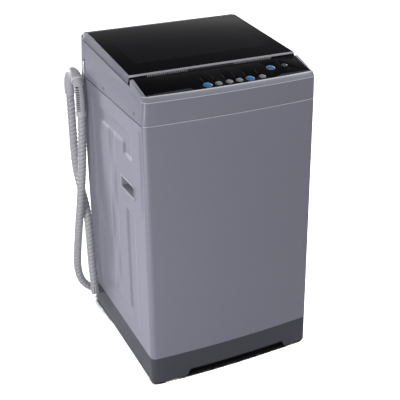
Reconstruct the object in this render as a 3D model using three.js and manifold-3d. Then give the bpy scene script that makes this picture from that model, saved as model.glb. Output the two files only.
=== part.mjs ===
// Top load washing machine: a steel cabinet on a plastic base, a plastic top cover with a glass lid and a
// sloping control panel, and inside it a tub hung on four sprung rods, with its basket, pulsator and drive.
// Millimetres. +Z is up, the control panel faces -Y, and the origin is on the floor under the middle.
import * as THREE from 'three';
import { mergeVertices } from 'three/addons/utils/BufferGeometryUtils.js';
import Module from 'manifold-3d';

const wasm = await Module();
wasm.setup();

// ---- Driving dimensions ----

// Clearances
const GAP = 0.3; // between two pieces that seat on each other
const RUNNING = 0.6; // round a turning shaft

// Cabinet and base
const WIDTH = 514;
const DEPTH = 520; // without the bow of the front
const HALF_WIDTH = WIDTH / 2;
const HALF_DEPTH = DEPTH / 2;
const BOW = 9; // the front stands out this far at its middle
const CORNER = 16; // radius of the upright corners
const FOOT_DROP = 8; // feet below the base
const BASE_HEIGHT = 84;
const BASE_WALL = 3;
const BASE_FLANGE = 16; // width of the base's top rim
const CABINET_HEIGHT = 716;
const SHEET = 1.2;
const KICK_LEFT = -152; // relief in the front of the base, at the floor
const KICK_RIGHT = 181;
const KICK_HEIGHT = 21;
const KICK_SLANT = 12;
const FOOT_INSET = 40;
const FOOT_RADIUS = 18;
const STUD_RADIUS = 4;
const STUD_LENGTH = 24;
const BOSS_RADIUS = 13;
const BOSS_HEIGHT = 34;

// Top cover, from the seam on the cabinet upwards
const COVER_WALL = 3;
const COVER_LEAN = 0.06; // sideways lean of its walls, per mm of height
const BROW_HEIGHT = 64; // top of the upright front
const BROW_FLARE = 5; // how far the front leans out there
const BEVEL_DEPTH = 10; // sloped edge between the front and the panel
const BEVEL_HEIGHT = 13;
const PANEL_HEIGHT = 98; // rear edge of the control panel
const PANEL_DEPTH = 95; // from the cabinet's front line to the panel's rear edge
const RIM_HEIGHT = 79; // rim under the lid, at the back of the panel
const RIM_RISE = 29; // how much that rim climbs to the back
const STRIP_HEIGHT = 118; // raised strip behind the lid
const STRIP_DEPTH = 18;
const OPENING_SIDE = 59; // laundry opening, in from the cabinet's sides, front line and back
const OPENING_AHEAD = 142;
const OPENING_BEHIND = 80;
const OPENING_RADIUS = 90;
const COLLAR_DROP = 12; // lower edge of the opening's collar, above the seam

// Control panel
const FASCIA_SIDE = 15; // in from the cabinet's sides
const FASCIA_THICKNESS = 3;
const FASCIA_FRONT_MARGIN = 4;
const BUTTON_TRAVEL = 1;
const BUTTON_ROW = 15 - HALF_DEPTH;
const BUTTON_BACK_ROW = 52 - HALF_DEPTH;
const BUTTONS = [
  { name: 'power_button', x: HALF_WIDTH - 74, y: BUTTON_BACK_ROW, radius: 8.5, tone: 'darkButton' },
  { name: 'start_button', x: HALF_WIDTH - 117, y: BUTTON_BACK_ROW, radius: 11, tone: 'blueButton' },
  { name: 'spin_button', x: HALF_WIDTH - 162, y: BUTTON_ROW, radius: 8.5, tone: 'greyButton' },
  { name: 'cycle_button', x: HALF_WIDTH - 199, y: BUTTON_ROW, radius: 11, tone: 'blueButton' },
  { name: 'rinse_button', x: HALF_WIDTH - 231, y: BUTTON_ROW, radius: 8.5, tone: 'greyButton' },
  { name: 'wash_button', x: HALF_WIDTH - 261, y: BUTTON_ROW, radius: 8.5, tone: 'greyButton' },
  { name: 'level_button', x: HALF_WIDTH - 292, y: BUTTON_ROW, radius: 8.5, tone: 'greyButton' },
  { name: 'delay_button', x: HALF_WIDTH - 324, y: BUTTON_ROW, radius: 11, tone: 'blueButton' },
];
const CROWN_HEIGHT = 4; // of a button above the panel
const BOARD_LIFT = 10; // of the button stems below the panel's backing
const TRAY_MARGIN = 16;
const STEM_RADIUS = 3;

// Lid
const LID_WALL = 3;
const LID_SLOT = 15; // finger slot between the panel and the lid
const LID_RIM_GAP = 1;
const LID_SKIRT = 24; // height of the side skirts at the front
const LID_SIDE_FRONT = 9.5; // its top, in from the cabinet's sides
const LID_SIDE_REAR = 14.5;
const LID_TOP_BEHIND = 55; // from the back to where the flat top ends
const LID_TOP_RISE = 30; // climb of the top from front to back
const GLASS_THICKNESS = 4;
const GLASS_MARGIN = 1.5;
const LIP_DEPTH = 3; // bright lip along the front
const HINGE_BEHIND = 12; // hinge axis in front of the raised strip
const HINGE_ABOVE = 12.5; // hinge axis above the rim
const HINGE_ROUND = 11; // rounded back edge of the lid
const PIN_RADIUS = 4;
const EAR_WIDTH = 12;
const EAR_INSET = 12; // outer face of an ear, inside the lid's skirt
const EAR_HALF = 8;
const EAR_PLAY = 1.4;
const MAGNET_SIDE = 87;
const MAGNET_WIDTH = 16;
const MAGNET_THICKNESS = 6;
const MAGNET_HEIGHT = 10;
const SWITCH_DEPTH = 16;
const SWITCH_HEIGHT = 12;
const WINDOW_SIDE = 52; // clear window in the lid's frame, in from the cabinet's sides
const WINDOW_AHEAD = 75;
const WINDOW_BEHIND = 77;

// Tub and basket
const TUB_Y = 22; // the tub's axis, behind the middle
const TUB_CLEARANCE = 44; // between tub and side panels
const TUB_REAR_CLEARANCE = 25; // between tub and back
const TUB_WALL = 4;
const TUB_ROUND = 8; // chamfer between the tub's floor and wall
const TUB_DROP = 20; // tub's top edge under the cover seam
const DRIVE_SPACE = 213; // room under the tub, above the base
const RING_THICKNESS = 8;
const RING_WIDTH = 41;
const RING_SKIRT = 12;
const TUB_GAP = 20; // between basket and tub
const BASKET_WALL = 2;
const BASKET_FLOOR_LIFT = 23; // basket's floor above the tub's
const BALANCE_HEIGHT = 42;
const BALANCE_WIDTH = 22;
const BALANCE_DROP = 14; // balance ring under the tub ring
const PULSATOR_MARGIN = 24; // between pulsator and basket wall
const PULSATOR_HEIGHT = 34;
const PULSATOR_DISC = 13;
const PULSATOR_EDGE = 12;
const PULSATOR_BOSS = 36;
const VANE_HEIGHT = 16;
const VANE_WIDTH = 18;
const VANE_COUNT = 4;
const FILTER_WIDTH = 84;
const FILTER_HEIGHT = 150;
const FILTER_DEPTH = 12;

// Suspension
const ROD_INSET = 42; // rods in from the side and end panels
const ROD_RADIUS = 4;
const HEAD_RADIUS = 11;
const HEAD_HEIGHT = 7;
const CAP_RADIUS = 15;
const CAP_HEIGHT = 5;
const GUSSET_LEG = 115;
const GUSSET_THICKNESS = 2;
const GUSSET_DROP = 26;
const LUG_LIFT = 45; // lugs above the tub's underside
const LUG_THICKNESS = 12;
const LUG_WIDTH = 26;
const SPRING_LENGTH = 66;
const SPRING_RADIUS = 10;
const WIRE_RADIUS = 1.8;
const SPRING_TURNS = 5;

// Drive
const SHAFT_RADIUS = 8;
const HUB_RADIUS = 16;
const HUB_FLANGE = 74;
const HUB_DEPTH = 60; // how far the hub goes down into the gearbox
const HUB_FLANGE_THICKNESS = 6;
const SUPPORT_THICKNESS = 6;
const SUPPORT_LENGTH = 300;
const SUPPORT_WIDTH = 130;
const NECK_RADIUS = 24;
const GEARBOX_RADIUS = 62;
const GEARBOX_HEIGHT = 100;
const MOTOR_OFFSET = 126;
const MOTOR_RADIUS = 52;
const MOTOR_HEIGHT = 92;
const PULLEY_HEIGHT = 20;
const PULLEY_DROP = 12; // pulleys under the gearbox
const PULLEY_FLANGE = 3;
const DRIVEN_RADIUS = 80;
const DRIVING_RADIUS = 27;
const BELT_DEPTH = 7;
const MOTOR_SHAFT_RADIUS = 6;

// Water fittings
const PUMP_SIDE = 117; // pump's axis in from the left side and the back
const PUMP_BEHIND = 120;
const PUMP_RADIUS = 42;
const PUMP_HEIGHT = 44;
const PUMP_PIPE_RADIUS = 8;
const PORT_RADIUS = 16;
const PORT_WALL = 3;
const PORT_LENGTH = 20;
const SHELF_THICKNESS = 3;
const SHELF_LIFT = 6;
const BELLOWS_WAVES = 4;
const VALVE_SIDE = 97;
const VALVE_HEIGHT = 56; // above the seam
const VALVE_RADIUS = 13;
const VALVE_FLANGE = 5;
const VALVE_BODY = 28;
const VALVE_PIPE_RADIUS = 7;
const SPOUT_HALF = 60;
const SPOUT_HEIGHT = 22;
const SPOUT_DEPTH = 46;
const SPOUT_WALL = 2.5;
const SENSOR_BEHIND = 200;
const SENSOR_WIDTH = 30;
const SENSOR_LENGTH = 44;
const SENSOR_HEIGHT = 26;
const GLAND_SIDE = 42;
const GLAND_HEIGHT = 30; // above the cabinet's lower edge
const GLAND_RADIUS = 9;

// Hand grips
const GRIP_AHEAD = 137; // centre, behind the cabinet's front line
const GRIP_HEIGHT = 494; // centre, above the cabinet's lower edge
const GRIP_WIDTH = 110;
const GRIP_TALL = 42;
const GRIP_RIM = 5;
const GRIP_DEPTH = 28;
const GRIP_PROUD = 1.5;

// Rear panel
const REAR_WINDOW_SIDE = 62;
const REAR_WINDOW_LOW = 60;
const REAR_WINDOW_HIGH = 70; // under the cover seam
const REAR_OVERLAP = 14;

// Drain hose
const HOSE_RADIUS = 13;
const HOSE_STEPS = 68;
const HOSE_SIDES = 8;
const ARCH_AHEAD = 9; // middle of its turn over the hook, in front of the back and below the cover seam
const ARCH_DROP = 41;
const ARCH_RADIUS = 46;
const ARCH_SIDE = 21; // where the climbing side meets the arch, out from the cabinet's side
const ARCH_DRIFT = 5; // how far the arch leans away from the cabinet
const HOOK_WALL = 2.6;
const HOOK_FRONT_LEG = 77; // below the turn
const HOOK_REAR_LEG = 32;
const ELBOW_RADIUS = 15;
const CUFF_LENGTH = 26;
const CUFF_RADIUS = 14.5;
const CUFF_WALL = 4;
const STRAP_WIDTH = 7;
const STRAP_THICKNESS = 2;
const STRAP_PLAY = 1.5; // the band is looser than the hook inside it
const STRAP_SLOT_HEIGHT = 44; // above the cover seam
const STRAP_SLOT_HALF = 5;

// ---- Heights and faces that follow ----

const CORNER_START = HALF_WIDTH - CORNER;
const BASE_Z = FOOT_DROP;
const CABINET_Z = BASE_Z + BASE_HEIGHT;
const COVER_Z = CABINET_Z + CABINET_HEIGHT;
const FRONT_REACH = HALF_DEPTH + BOW + BROW_FLARE; // farthest point in front; the inlet matches it

const GLAND_Z = CABINET_Z + GLAND_HEIGHT;
const PANEL_REAR = PANEL_DEPTH - HALF_DEPTH;
const FASCIA_HALF = HALF_WIDTH - FASCIA_SIDE;
const OPENING_WIDTH = WIDTH - 2 * OPENING_SIDE;
const OPENING_FRONT = OPENING_AHEAD - HALF_DEPTH;
const OPENING_REAR = HALF_DEPTH - OPENING_BEHIND;
const LID_FRONT = PANEL_REAR + LID_SLOT;
const LID_TOP_REAR = HALF_DEPTH - LID_TOP_BEHIND;
const LID_HALF_FRONT = HALF_WIDTH - LID_SIDE_FRONT;
const LID_HALF_REAR = HALF_WIDTH - LID_SIDE_REAR;
const LID_WINDOW_HALF = HALF_WIDTH - WINDOW_SIDE;
const LID_WINDOW_FRONT = LID_FRONT + WINDOW_AHEAD;
const LID_WINDOW_REAR = LID_TOP_REAR - WINDOW_BEHIND;
const MAGNET_X = HALF_WIDTH - MAGNET_SIDE;
const VALVE_X = HALF_WIDTH - VALVE_SIDE;
const SENSOR_Y = HALF_DEPTH - SENSOR_BEHIND;
const GLAND_X = HALF_WIDTH - GLAND_SIDE;
const GRIP_Y = GRIP_AHEAD - HALF_DEPTH;
const REAR_WINDOW_HALF = HALF_WIDTH - REAR_WINDOW_SIDE;
const PUMP_X = PUMP_SIDE - HALF_WIDTH;
const PUMP_Y = HALF_DEPTH - PUMP_BEHIND;
const ARCH_LEFT = -HALF_WIDTH - ARCH_SIDE;
const ARCH_Y = HALF_DEPTH - ARCH_AHEAD;
const ARCH_Z = COVER_Z - ARCH_DROP;
const HOOK_FRONT_END = ARCH_Z - HOOK_FRONT_LEG;
const HOOK_REAR_END = ARCH_Z - HOOK_REAR_LEG;

const RIM_FRONT = PANEL_REAR + COVER_WALL;
const STRIP_FRONT = HALF_DEPTH - STRIP_DEPTH;
const PANEL_Z = COVER_Z + PANEL_HEIGHT;
const RIM_Z = COVER_Z + RIM_HEIGHT;

const TUB_RADIUS = Math.min(HALF_WIDTH - TUB_CLEARANCE, HALF_DEPTH - TUB_Y - TUB_REAR_CLEARANCE);
const RING_BORE = TUB_RADIUS - RING_WIDTH;
const TUB_TOP = COVER_Z - TUB_DROP;
const TUB_UNDER = CABINET_Z + DRIVE_SPACE;
const TUB_FLOOR = TUB_UNDER + TUB_WALL;
const BASKET_RADIUS = TUB_RADIUS - TUB_WALL - TUB_GAP;
const BASKET_UNDER = TUB_FLOOR + BASKET_FLOOR_LIFT;
const BALANCE_TOP = TUB_TOP - BALANCE_DROP;
const BASKET_TOP = BALANCE_TOP - BALANCE_HEIGHT;
const BASKET_BORE = BASKET_RADIUS - BASKET_WALL;
const BASKET_FLOOR = BASKET_UNDER + BASKET_WALL;
const BASKET_ROUND = 24; // chamfer between the basket's floor and wall
const PULSATOR_UNDER = BASKET_FLOOR + 6;
const PULSATOR_RADIUS = BASKET_BORE - PULSATOR_MARGIN;
const SHAFT_TOP = PULSATOR_UNDER + PULSATOR_HEIGHT / 2;

const SUPPORT_TOP = TUB_UNDER - GAP;
const SUPPORT_UNDER = SUPPORT_TOP - SUPPORT_THICKNESS;
const GEARBOX_TOP = SUPPORT_UNDER - GAP;
const GEARBOX_UNDER = GEARBOX_TOP - GEARBOX_HEIGHT;
const MOTOR_UNDER = GEARBOX_TOP - MOTOR_HEIGHT;
const PULLEY_TOP = GEARBOX_UNDER - PULLEY_DROP;
const PULLEY_UNDER = PULLEY_TOP - PULLEY_HEIGHT;
const HUB_BOTTOM = GEARBOX_TOP - HUB_DEPTH;
const SHAFT_BOTTOM = HUB_BOTTOM + SHAFT_RADIUS;
const INPUT_TOP = GEARBOX_UNDER + 22;

const LUG_Z = TUB_UNDER + LUG_LIFT;
const SEAT_Z = LUG_Z - SPRING_LENGTH - 2 * GAP;
const ROD_X = HALF_WIDTH - ROD_INSET;
const ROD_Y = HALF_DEPTH - ROD_INSET;
const GUSSET_Z = COVER_Z - GUSSET_DROP;

const SHELF_Z = BASE_Z + SHELF_LIFT;
const PUMP_UNDER = SHELF_Z + SHELF_THICKNESS + GAP;
const PUMP_TOP = PUMP_UNDER + PUMP_HEIGHT;
const PUMP_INLET = PUMP_TOP + PORT_LENGTH;
const PIPE_X = PUMP_X - PUMP_RADIUS + PUMP_PIPE_RADIUS;
const PIPE_Z = PUMP_UNDER + PUMP_PIPE_RADIUS;
const PORT_Z = TUB_UNDER - PORT_LENGTH;
const BAND_Y = ARCH_Y - ARCH_RADIUS * Math.SQRT1_2; // the strap's band, halfway up the arch

// Half-width of the top cover at a height; its side walls lean inwards.
function coverHalf(z) {
  return HALF_WIDTH - COVER_LEAN * (z - COVER_Z);
}

// Height of the rim that the lid closes on, at a depth.
function rimZ(y) {
  return RIM_Z + (RIM_RISE * (y - RIM_FRONT)) / (STRIP_FRONT - RIM_FRONT);
}

const LID_TOP_Z = rimZ(LID_FRONT) + LID_RIM_GAP + LID_SKIRT;
const HINGE_Y = STRIP_FRONT - HINGE_BEHIND;
const HINGE_Z = rimZ(HINGE_Y) + HINGE_ABOVE;

// Height of the lid's top face at a depth.
function lidTopZ(y) {
  return LID_TOP_Z + (LID_TOP_RISE * (y - LID_FRONT)) / (LID_TOP_REAR - LID_FRONT);
}

// Front and back of the cabinet's plan outline at a width: bowed front, rounded corners.
function frontY(x, inset = 0) {
  const radius = CORNER - inset;
  const past = Math.max(Math.abs(x) - CORNER_START, 0);
  const bow = past > 0 ? 0 : BOW * (1 - (x / CORNER_START) ** 2);
  return radius - Math.sqrt(Math.max(radius ** 2 - past ** 2, 0)) - (HALF_DEPTH - inset) - bow;
}

function backY(x, inset = 0) {
  const radius = CORNER - inset;
  const past = Math.max(Math.abs(x) - CORNER_START, 0);
  return HALF_DEPTH - inset - radius + Math.sqrt(Math.max(radius ** 2 - past ** 2, 0));
}

// Widths at which the outline is drawn, from left to right.
function stations(inset = 0) {
  const corner = [1, 0.92, 0.71, 0.38].map((sine) => CORNER_START + (CORNER - inset) * sine);
  const flat = [1, 0.75, 0.5, 0.25].map((share) => CORNER_START * share);
  const right = [...corner, ...flat].reverse();
  return [...right.map((x) => -x).reverse(), 0, ...right];
}

function planShape(inset = 0) {
  const across = stations(inset);
  const front = across.map((x) => new THREE.Vector2(x, frontY(x, inset)));
  const back = across.map((x) => new THREE.Vector2(x, backY(x, inset))).reverse();
  return new THREE.Shape([...front, ...back]);
}

// ---- Solids ----

// A closed geometry as a manifold solid with its faces out.
function solid(geometry) {
  const bare = geometry.clone();
  bare.deleteAttribute('normal');
  bare.deleteAttribute('uv');
  const merged = mergeVertices(bare, 1e-4);
  const corners = [];
  for (let i = 0; i < merged.index.count; i += 3) {
    const [a, b, c] = [0, 1, 2].map((k) => merged.index.getX(i + k));
    if (a !== b && b !== c && c !== a) corners.push(a, b, c);
  }
  const vertProperties = new Float32Array(merged.attributes.position.array);
  const mesh = (list) => new wasm.Mesh({ numProp: 3, vertProperties, triVerts: new Uint32Array(list) });
  const build = (list) => new wasm.Manifold(mesh(list));
  const body = build(corners);
  if (body.volume() > 0) return body;
  const flipped = corners.map((value, i) => corners[i - (i % 3) + [0, 2, 1][i % 3]]);
  return build(flipped);
}

function geometryOf(body) {
  const mesh = body.getMesh();
  const geometry = new THREE.BufferGeometry();
  geometry.setAttribute('position', new THREE.BufferAttribute(new Float32Array(mesh.vertProperties), 3));
  geometry.setIndex(Array.from(mesh.triVerts));
  const faceted = geometry.toNonIndexed();
  faceted.computeVertexNormals();
  return faceted;
}

function join(...bodies) {
  return bodies.reduce((whole, body) => whole.add(body));
}

function cut(body, ...tools) {
  return tools.reduce((rest, tool) => rest.subtract(tool), body);
}

// Two values in rising order.
function span(a, b) {
  return [Math.min(a, b), Math.max(a, b)];
}

function block([x0, x1], [y0, y1], [z0, z1]) {
  const box = new THREE.BoxGeometry(x1 - x0, y1 - y0, z1 - z0);
  box.translate((x0 + x1) / 2, (y0 + y1) / 2, (z0 + z1) / 2);
  return solid(box);
}

// A shape in plan, raised from one height to another.
function prism(shape, z0, z1, curveSegments = 8) {
  const geometry = new THREE.ExtrudeGeometry(shape, { depth: z1 - z0, bevelEnabled: false, curveSegments });
  geometry.translate(0, 0, z0);
  return solid(geometry);
}

// A shape drawn in X and Z, run from one depth to another.
function prismAlongY(shape, y0, y1, curveSegments = 8) {
  const geometry = new THREE.ExtrudeGeometry(shape, { depth: y1 - y0, bevelEnabled: false, curveSegments });
  geometry.rotateX(Math.PI / 2);
  geometry.translate(0, y1, 0);
  return solid(geometry);
}

function at(x, y, z = 0) {
  return new THREE.Matrix4().makeTranslation(x, y, z);
}

// A profile of [radius, height] points turned about the upright axis, then placed.
function turned(profile, segments = 36, place = at(0, 0)) {
  const points = profile.map(([radius, height]) => new THREE.Vector2(radius, height));
  const onAxis = profile[0][0] === 0 && profile[profile.length - 1][0] === 0;
  if (!onAxis) points.push(points[0].clone());
  const geometry = new THREE.LatheGeometry(points, segments);
  geometry.rotateX(Math.PI / 2);
  geometry.applyMatrix4(place);
  return solid(geometry);
}

function rod(radius, z0, z1, place = at(0, 0), segments = 16) {
  return turned([[0, z0], [radius, z0], [radius, z1], [0, z1]], segments, place);
}

// The same, lying along Y at x, z.
function rodAlongY(radius, y0, y1, x, z, segments = 16) {
  const geometry = new THREE.CylinderGeometry(radius, radius, y1 - y0, segments);
  geometry.translate(x, (y0 + y1) / 2, z);
  return solid(geometry);
}

function rodAlongX(radius, x0, x1, y, z, segments = 16) {
  const geometry = new THREE.CylinderGeometry(radius, radius, x1 - x0, segments);
  geometry.rotateZ(Math.PI / 2);
  geometry.translate((x0 + x1) / 2, y, z);
  return solid(geometry);
}

function roundSection(radius, sides) {
  const turn = (2 * Math.PI) / sides;
  const corner = (i) => new THREE.Vector2(radius * Math.cos(i * turn), radius * Math.sin(i * turn));
  return new THREE.Shape(Array.from({ length: sides }, (_, i) => corner(i)));
}

// A round bar bent along a curve.
function tube(curve, radius, steps, sides = 10) {
  return solid(new THREE.ExtrudeGeometry(roundSection(radius, sides), { extrudePath: curve, steps }));
}

// A skin through sections with like numbers of points, closed by flat ends.
function loft(drawn, flat) {
  const clockwise = THREE.ShapeUtils.isClockWise(flat(drawn[0]));
  const sections = clockwise ? drawn.map((section) => [...section].reverse()) : drawn;
  const size = sections[0].length;
  const index = [];
  for (let s = 0; s + 1 < sections.length; s += 1) {
    for (let i = 0; i < size; i += 1) {
      const next = (i + 1) % size;
      const [a, b] = [s * size + i, s * size + next];
      index.push(a, b, b + size, a, b + size, a + size);
    }
  }
  const last = (sections.length - 1) * size;
  for (const [a, b, c] of THREE.ShapeUtils.triangulateShape(flat(sections[0]), [])) {
    index.push(c, b, a);
    index.push(last + a, last + b, last + c);
  }
  const geometry = new THREE.BufferGeometry();
  const positions = sections.flat().flatMap((p) => p.toArray());
  geometry.setAttribute('position', new THREE.Float32BufferAttribute(positions, 3));
  geometry.setIndex(index);
  return solid(geometry);
}

const flatYZ = (section) => section.map((p) => new THREE.Vector2(p.y, p.z));
const flatXZ = (section) => section.map((p) => new THREE.Vector2(p.x, p.z));

function roundedRectangle(x0, x1, y0, y1, radius) {
  const shape = new THREE.Shape();
  shape.absarc(x1 - radius, y0 + radius, radius, -Math.PI / 2, 0);
  shape.absarc(x1 - radius, y1 - radius, radius, 0, Math.PI / 2);
  shape.absarc(x0 + radius, y1 - radius, radius, Math.PI / 2, Math.PI);
  shape.absarc(x0 + radius, y0 + radius, radius, Math.PI, 1.5 * Math.PI);
  return shape;
}

// ---- Materials ----

function finish(color, roughness, metalness = 0) {
  return new THREE.MeshStandardMaterial({ color, roughness, metalness });
}

const MATERIALS = {
  paintedSteel: finish('#8c8c98', 0.42, 0.25),
  coverPlastic: finish('#85858f', 0.4, 0.1),
  basePlastic: finish('#4a4a56', 0.5),
  blackGlass: finish('#18181c', 0.08),
  blackPlastic: finish('#151517', 0.25),
  blueButton: finish('#3f7fc0', 0.25),
  greyButton: finish('#8a8a90', 0.35),
  darkButton: finish('#4a4a4e', 0.35),
  hose: finish('#b9b9c2', 0.55),
  whitePlastic: finish('#d8d8d6', 0.45),
  rubber: finish('#1d1d1d', 0.85),
  steel: finish('#b4b6ba', 0.28, 1),
  galvanised: finish('#9ba0a4', 0.45, 0.9),
  castAluminium: finish('#a7a8aa', 0.5, 0.9),
  board: finish('#2c4a37', 0.6),
  greyPlastic: finish('#9a9ca2', 0.45),
};

const machine = new THREE.Group();

function piece(name, body, material) {
  const mesh = new THREE.Mesh(geometryOf(body), MATERIALS[material]);
  mesh.name = name;
  machine.add(mesh);
  return body;
}

const SIDES = [
  ['left', -1],
  ['right', 1],
];
const ENDS = [
  ['front', -1],
  ['rear', 1],
];

// ---- Base and feet ----

const FOOT_X = HALF_WIDTH - FOOT_INSET;
const FOOT_Y = HALF_DEPTH - FOOT_INSET;
const BASE_TOP = CABINET_Z - GAP;
const SHELF_RIGHT = PUMP_X + PUMP_RADIUS + 8;
const SHELF_FRONT = PUMP_Y - PUMP_RADIUS - 8;

// The relief under the front edge, drawn in X and Z.
function kickShape() {
  return new THREE.Shape([
    new THREE.Vector2(KICK_LEFT, BASE_Z - 1),
    new THREE.Vector2(KICK_RIGHT, BASE_Z - 1),
    new THREE.Vector2(KICK_RIGHT - KICK_SLANT, BASE_Z + KICK_HEIGHT),
    new THREE.Vector2(KICK_LEFT + KICK_SLANT, BASE_Z + KICK_HEIGHT),
  ]);
}

function footBoss(sideX, sideY) {
  const x = sideX * FOOT_X;
  const y = sideY * FOOT_Y;
  const boss = rod(BOSS_RADIUS, BASE_Z, BASE_Z + BOSS_HEIGHT, at(x, y));
  const toSide = sideX * (HALF_WIDTH - BASE_WALL / 2);
  const toEnd = sideY * (HALF_DEPTH - BASE_WALL / 2);
  const ribs = [
    block(span(x, toSide), [y - BASE_WALL, y + BASE_WALL], [BASE_Z, BASE_Z + BOSS_HEIGHT]),
    block([x - BASE_WALL, x + BASE_WALL], span(y, toEnd), [BASE_Z, BASE_Z + BOSS_HEIGHT]),
  ];
  return join(boss, ...ribs);
}

function baseFrame() {
  const outside = prism(planShape(), BASE_Z, BASE_TOP);
  const hollow = prism(planShape(BASE_WALL), BASE_Z - 1, BASE_TOP - BASE_WALL);
  const mouth = prism(planShape(BASE_FLANGE - 1), BASE_Z - 1, BASE_TOP + 1);
  const wall = -(HALF_DEPTH - 2 * BASE_WALL);
  const kick = prismAlongY(kickShape(), -(HALF_DEPTH + BOW + 1), wall);
  const shelf = block(
    [-HALF_WIDTH + 1, SHELF_RIGHT],
    [SHELF_FRONT, HALF_DEPTH - 1],
    [SHELF_Z, SHELF_Z + SHELF_THICKNESS],
  );
  const bosses = SIDES.flatMap(([, x]) => ENDS.map(([, y]) => footBoss(x, y)));
  const studs = SIDES.flatMap(([, x]) => ENDS.map(([, y]) => rod(
    STUD_RADIUS + GAP, BASE_Z - 1, BASE_Z + STUD_LENGTH + GAP, at(x * FOOT_X, y * FOOT_Y),
  )));
  const pipe = rodAlongY(PUMP_PIPE_RADIUS + GAP, HALF_DEPTH - 2 * BASE_WALL, HALF_DEPTH + 1, PIPE_X, PIPE_Z);
  return cut(join(cut(outside, hollow, mouth, kick), shelf, ...bosses), pipe, ...studs);
}

piece('base_frame', baseFrame(), 'basePlastic');

for (const [end, sideY] of ENDS) {
  for (const [side, sideX] of SIDES) {
    const pad = turned([
      [0, 0], [FOOT_RADIUS - 2, 0], [FOOT_RADIUS, 2], [FOOT_RADIUS - 2, FOOT_DROP - GAP],
      [STUD_RADIUS, FOOT_DROP - GAP], [STUD_RADIUS, BASE_Z + STUD_LENGTH], [0, BASE_Z + STUD_LENGTH],
    ], 16, at(sideX * FOOT_X, sideY * FOOT_Y));
    piece(`${end}_foot_${side}`, pad, 'rubber');
  }
}

// ---- Cabinet ----

const CABINET_TOP = COVER_Z - GAP;
const GRIP_Z = CABINET_Z + GRIP_HEIGHT;

function gripHole(sideX, margin) {
  const half = GRIP_WIDTH / 2 - GRIP_RIM + margin;
  const tall = GRIP_TALL / 2 - GRIP_RIM + margin;
  const inner = sideX * (HALF_WIDTH - GRIP_DEPTH - 1);
  const outer = sideX * (HALF_WIDTH + GRIP_PROUD + 1);
  return block(span(inner, outer), [GRIP_Y - half, GRIP_Y + half], [GRIP_Z - tall, GRIP_Z + tall]);
}

function gusset(sideX, sideY) {
  const x = sideX * HALF_WIDTH;
  const y = sideY * HALF_DEPTH;
  const triangle = new THREE.Shape([
    new THREE.Vector2(x, y * 1.05),
    new THREE.Vector2(x - sideX * GUSSET_LEG, y * 1.05),
    new THREE.Vector2(x - sideX * GUSSET_LEG, y),
    new THREE.Vector2(x, y - sideY * GUSSET_LEG),
  ]);
  const plate = prism(triangle, GUSSET_Z, GUSSET_Z + GUSSET_THICKNESS);
  const inside = prism(planShape(SHEET / 2), GUSSET_Z - 1, GUSSET_Z + GUSSET_THICKNESS + 1);
  const place = at(sideX * ROD_X, sideY * ROD_Y);
  const hole = rod(ROD_RADIUS + GAP, GUSSET_Z - 1, GUSSET_Z + GUSSET_THICKNESS + 1, place, 12);
  return cut(plate.intersect(inside), hole);
}

function cabinetShell() {
  const outside = prism(planShape(), CABINET_Z, CABINET_TOP);
  const inside = prism(planShape(SHEET), CABINET_Z - 1, CABINET_TOP + 1);
  const rearWindow = block(
    [-REAR_WINDOW_HALF, REAR_WINDOW_HALF],
    [HALF_DEPTH - 2 * SHEET, HALF_DEPTH + 1],
    [CABINET_Z + REAR_WINDOW_LOW, COVER_Z - REAR_WINDOW_HIGH],
  );
  const glandRadius = GLAND_RADIUS - 2 + GAP;
  const gland = rodAlongY(glandRadius, HALF_DEPTH - 2 * SHEET, HALF_DEPTH + 1, GLAND_X, GLAND_Z);
  const gussets = SIDES.flatMap(([, x]) => ENDS.map(([, y]) => gusset(x, y)));
  const grips = SIDES.map(([, x]) => gripHole(x, BASE_WALL + GAP));
  return cut(join(cut(outside, inside), ...gussets), rearWindow, gland, ...grips);
}

piece('cabinet_shell', cabinetShell(), 'paintedSteel');

const REAR_EDGE = REAR_WINDOW_HALF + REAR_OVERLAP;
piece('rear_panel', block(
  [-REAR_EDGE, REAR_EDGE],
  [HALF_DEPTH + GAP, HALF_DEPTH + GAP + SHEET],
  [CABINET_Z + REAR_WINDOW_LOW - REAR_OVERLAP, COVER_Z - REAR_WINDOW_HIGH + REAR_OVERLAP],
), 'paintedSteel');

for (const [side, sideX] of SIDES) {
  const face = sideX * (HALF_WIDTH + GAP);
  const proud = sideX * (HALF_WIDTH + GAP + GRIP_PROUD);
  const rim = block(
    span(face, proud),
    [GRIP_Y - GRIP_WIDTH / 2, GRIP_Y + GRIP_WIDTH / 2],
    [GRIP_Z - GRIP_TALL / 2, GRIP_Z + GRIP_TALL / 2],
  );
  const cup = gripHole(sideX, BASE_WALL);
  const back = sideX * (HALF_WIDTH - GRIP_DEPTH - 1 + BASE_WALL);
  const mouth = sideX * (HALF_WIDTH + GRIP_PROUD + 2);
  const hollow = block(
    span(back, mouth),
    [GRIP_Y - GRIP_WIDTH / 2 + GRIP_RIM, GRIP_Y + GRIP_WIDTH / 2 - GRIP_RIM],
    [GRIP_Z - GRIP_TALL / 2 + GRIP_RIM, GRIP_Z + GRIP_TALL / 2 - GRIP_RIM],
  );
  const outerFace = block(
    span(proud, sideX * (HALF_WIDTH + GRIP_PROUD + 5)),
    [GRIP_Y - GRIP_WIDTH, GRIP_Y + GRIP_WIDTH],
    [GRIP_Z - GRIP_TALL, GRIP_Z + GRIP_TALL],
  );
  piece(`hand_grip_${side}`, cut(join(rim, cup), hollow, outerFace), 'greyPlastic');
}

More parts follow.
